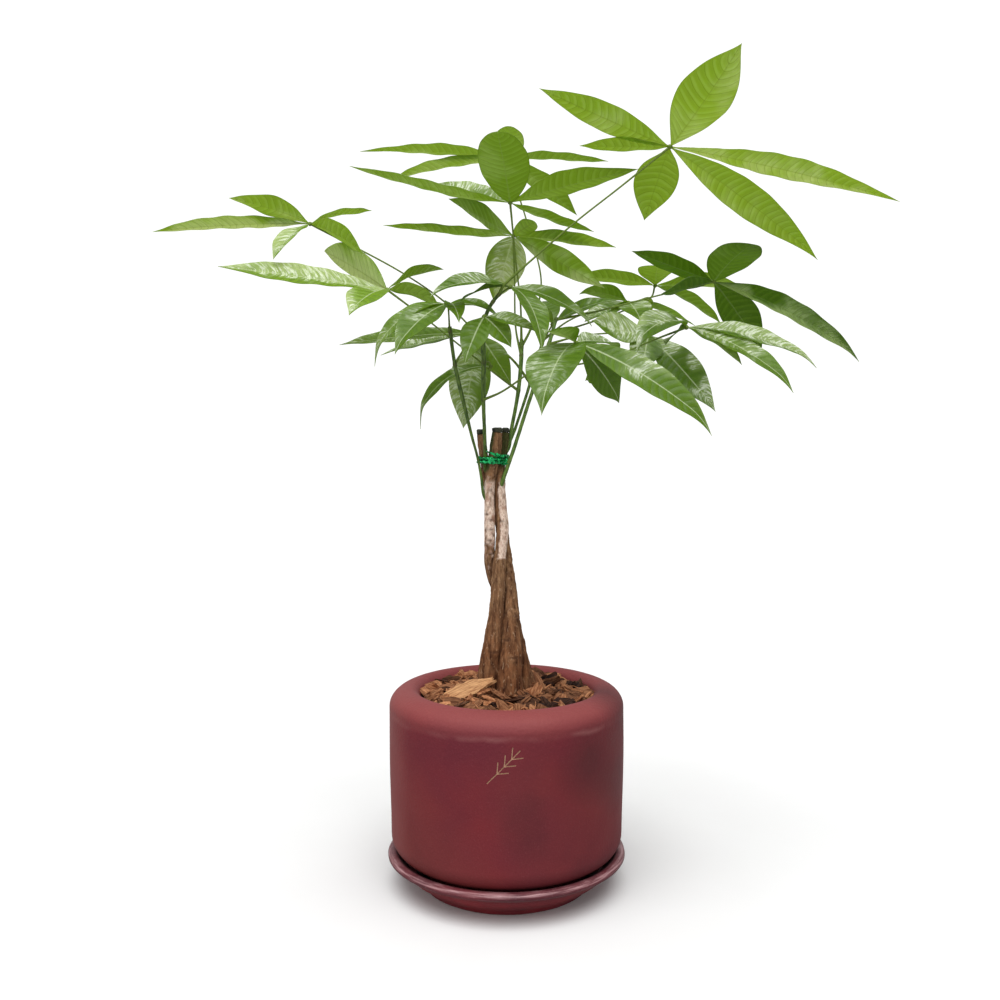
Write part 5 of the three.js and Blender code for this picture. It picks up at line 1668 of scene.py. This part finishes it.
def under_side():
    """The underside: yellow-green where light comes through, with painted shade and highlight across
    the quilt between darker veins.
    """
    finish = {"Roughness": 0.55, "Specular_IOR_Level": 0.2}
    material, net, place = new_material("leaf_under_side", **finish)
    masks = veins(net)
    tone = net.attribute("tone")
    sheen_masks = painted_sheen_patches(net, place)
    blotch = net.noise(place, 50.0, 3.0)
    specks = net.noise(place, 620.0, 2.0, 0.6)
    green = net.mix(tone, DEEP_OLIVE, YELLOW_GREEN)
    green = net.mix(net.spread(blotch, 0.42, 0.64, 0, 0.3), green, (0.14, 0.27, 0.012, 1))
    # Dark and light are shaded and lit copies of the green: painted shade and painted highlight across
    # each field; dark also colours the veins.
    dark = net.mix(tone, (0.03, 0.065, 0.006, 1), (0.17, 0.3, 0.012, 1))
    light = net.mix(tone, (0.14, 0.24, 0.02, 1), (0.5, 0.78, 0.15, 1))
    colour = net.mix(net.spread(masks["Painted relief shading"], 0.05, 0.5, 0.34, 0), green, dark)
    colour = net.mix(net.spread(masks["Painted relief shading"], 0.55, 1.0, 0, 0.55), colour, light)
    colour = net.mix(net.spread(specks, 0.62, 0.7, 0, 0.3), colour, (0.4, 0.52, 0.16, 1))
    # Painted sheen: a soft haze and crisp pale streaks.
    colour = net.mix(sheen_masks["Soft"], colour, (0.66, 0.77, 0.44, 1))
    colour = net.mix(net.times(sheen_masks["Crisp"], 0.4), colour, (0.75, 0.85, 0.55, 1))
    lines = net.math("MAXIMUM", masks["Side veins"], masks["Edge"])
    colour = net.mix(net.times(lines, 0.5), colour, dark)
    rib = net.mix(net.spread(tone, 0.7, 0.85), (0.3, 0.37, 0.15, 1), dark)
    net.paint(net.mix(net.times(masks["Midrib"], 0.6), colour, rib))
    ridge = net.math("SUBTRACT", masks["Midrib"], net.times(masks["Swell"], 0.4))
    net.raise_surface(ridge, 0.7, 0.6 * MM)
    lit = net.mix(tone, (0.3, 0.5, 0.05, 1), (0.8, 1.0, 0.24, 1))
    # The light through is paler under the painted sheen.
    lit = net.mix(sheen_masks["Soft"], lit, (1.0, 1.0, 0.7, 1))
    lit = net.mix(net.times(lines, 0.4), lit, (0.16, 0.25, 0.02, 1))
    net.let_light_through(lit, UNDER_SHARE)
    return material


LEAF_UPPER = upper_side()
LEAF_UNDER = under_side()

# %% Stalks and hubs
STALK_GRID = (10, 60)
STALK_RADII = [1.3, 0.85, 0.75, 0.7, 0.75, 1.0]
HUB_RADIUS = 1.9

stalk_skin, net, place = new_material("stalk_skin", Roughness=0.6, Specular_IOR_Level=0.15)
stripes = net.noise(net.stretched(place, (1, 1, 0.3)), 700.0)
net.paint(net.mix(stripes, (0.085, 0.14, 0.018, 1), (0.22, 0.31, 0.06, 1)))
net.raise_surface(stripes, 0.3, 0.3 * MM)


def grow_stalk(leaf):
    points = leaf["stalk"] + [leaf["hub"]]
    stalk, _, _ = rolled_stem("stalk", points, STALK_RADII, *STALK_GRID)
    return close_mesh(stalk, weld=0.01 * MM)


def grow_hub(leaf):
    add_ball = bpy.ops.mesh.primitive_ico_sphere_add
    hub = added(add_ball, subdivisions=3, radius=HUB_RADIUS * MM, location=Vector(leaf["hub"]) * MM)
    bpy.ops.object.transform_apply(location=True)
    places = read_points(hub)
    middle = np.array(leaf["hub"]) * MM
    places = middle + (places - middle) * (1 + 0.25 * lumps(places, 1.2 * MM, 9))[:, None]
    write_points(hub, places)
    return hub


# %% Growing the leaves
WAVE_SHIFT = 1.7


def grow_leaf(name):
    leaf = LEAVES[name]
    blades = []
    for i, row in enumerate(leaf["leaflets"]):
        sheen = leaf["sheen"][i]
        # A leaflet with much sheen is also painted lighter, as if lit from behind.
        tone = leaf["tone"] + 0.12 * math.sin(5.1 * i + len(name)) + 0.3 * max(sheen - 1, 0)
        blades.append(grow_leaflet(leaf["hub"], row, i * WAVE_SHIFT, tone, sheen))
    body = join_pieces("blades", blades)
    body.data.materials.append(LEAF_UPPER)
    body.data.materials.append(LEAF_UNDER)
    thicken_blades(body)
    stems = join_pieces("stems", [grow_stalk(leaf), grow_hub(leaf)])
    stems.data.materials.append(stalk_skin)
    grown = join_pieces(f"grown_{name}", [body, stems])
    smooth(grown, 55)
    return grown


for leaf_name in LEAVES:
    stand_for(grow_leaf(leaf_name), "leaf", leaf_name)
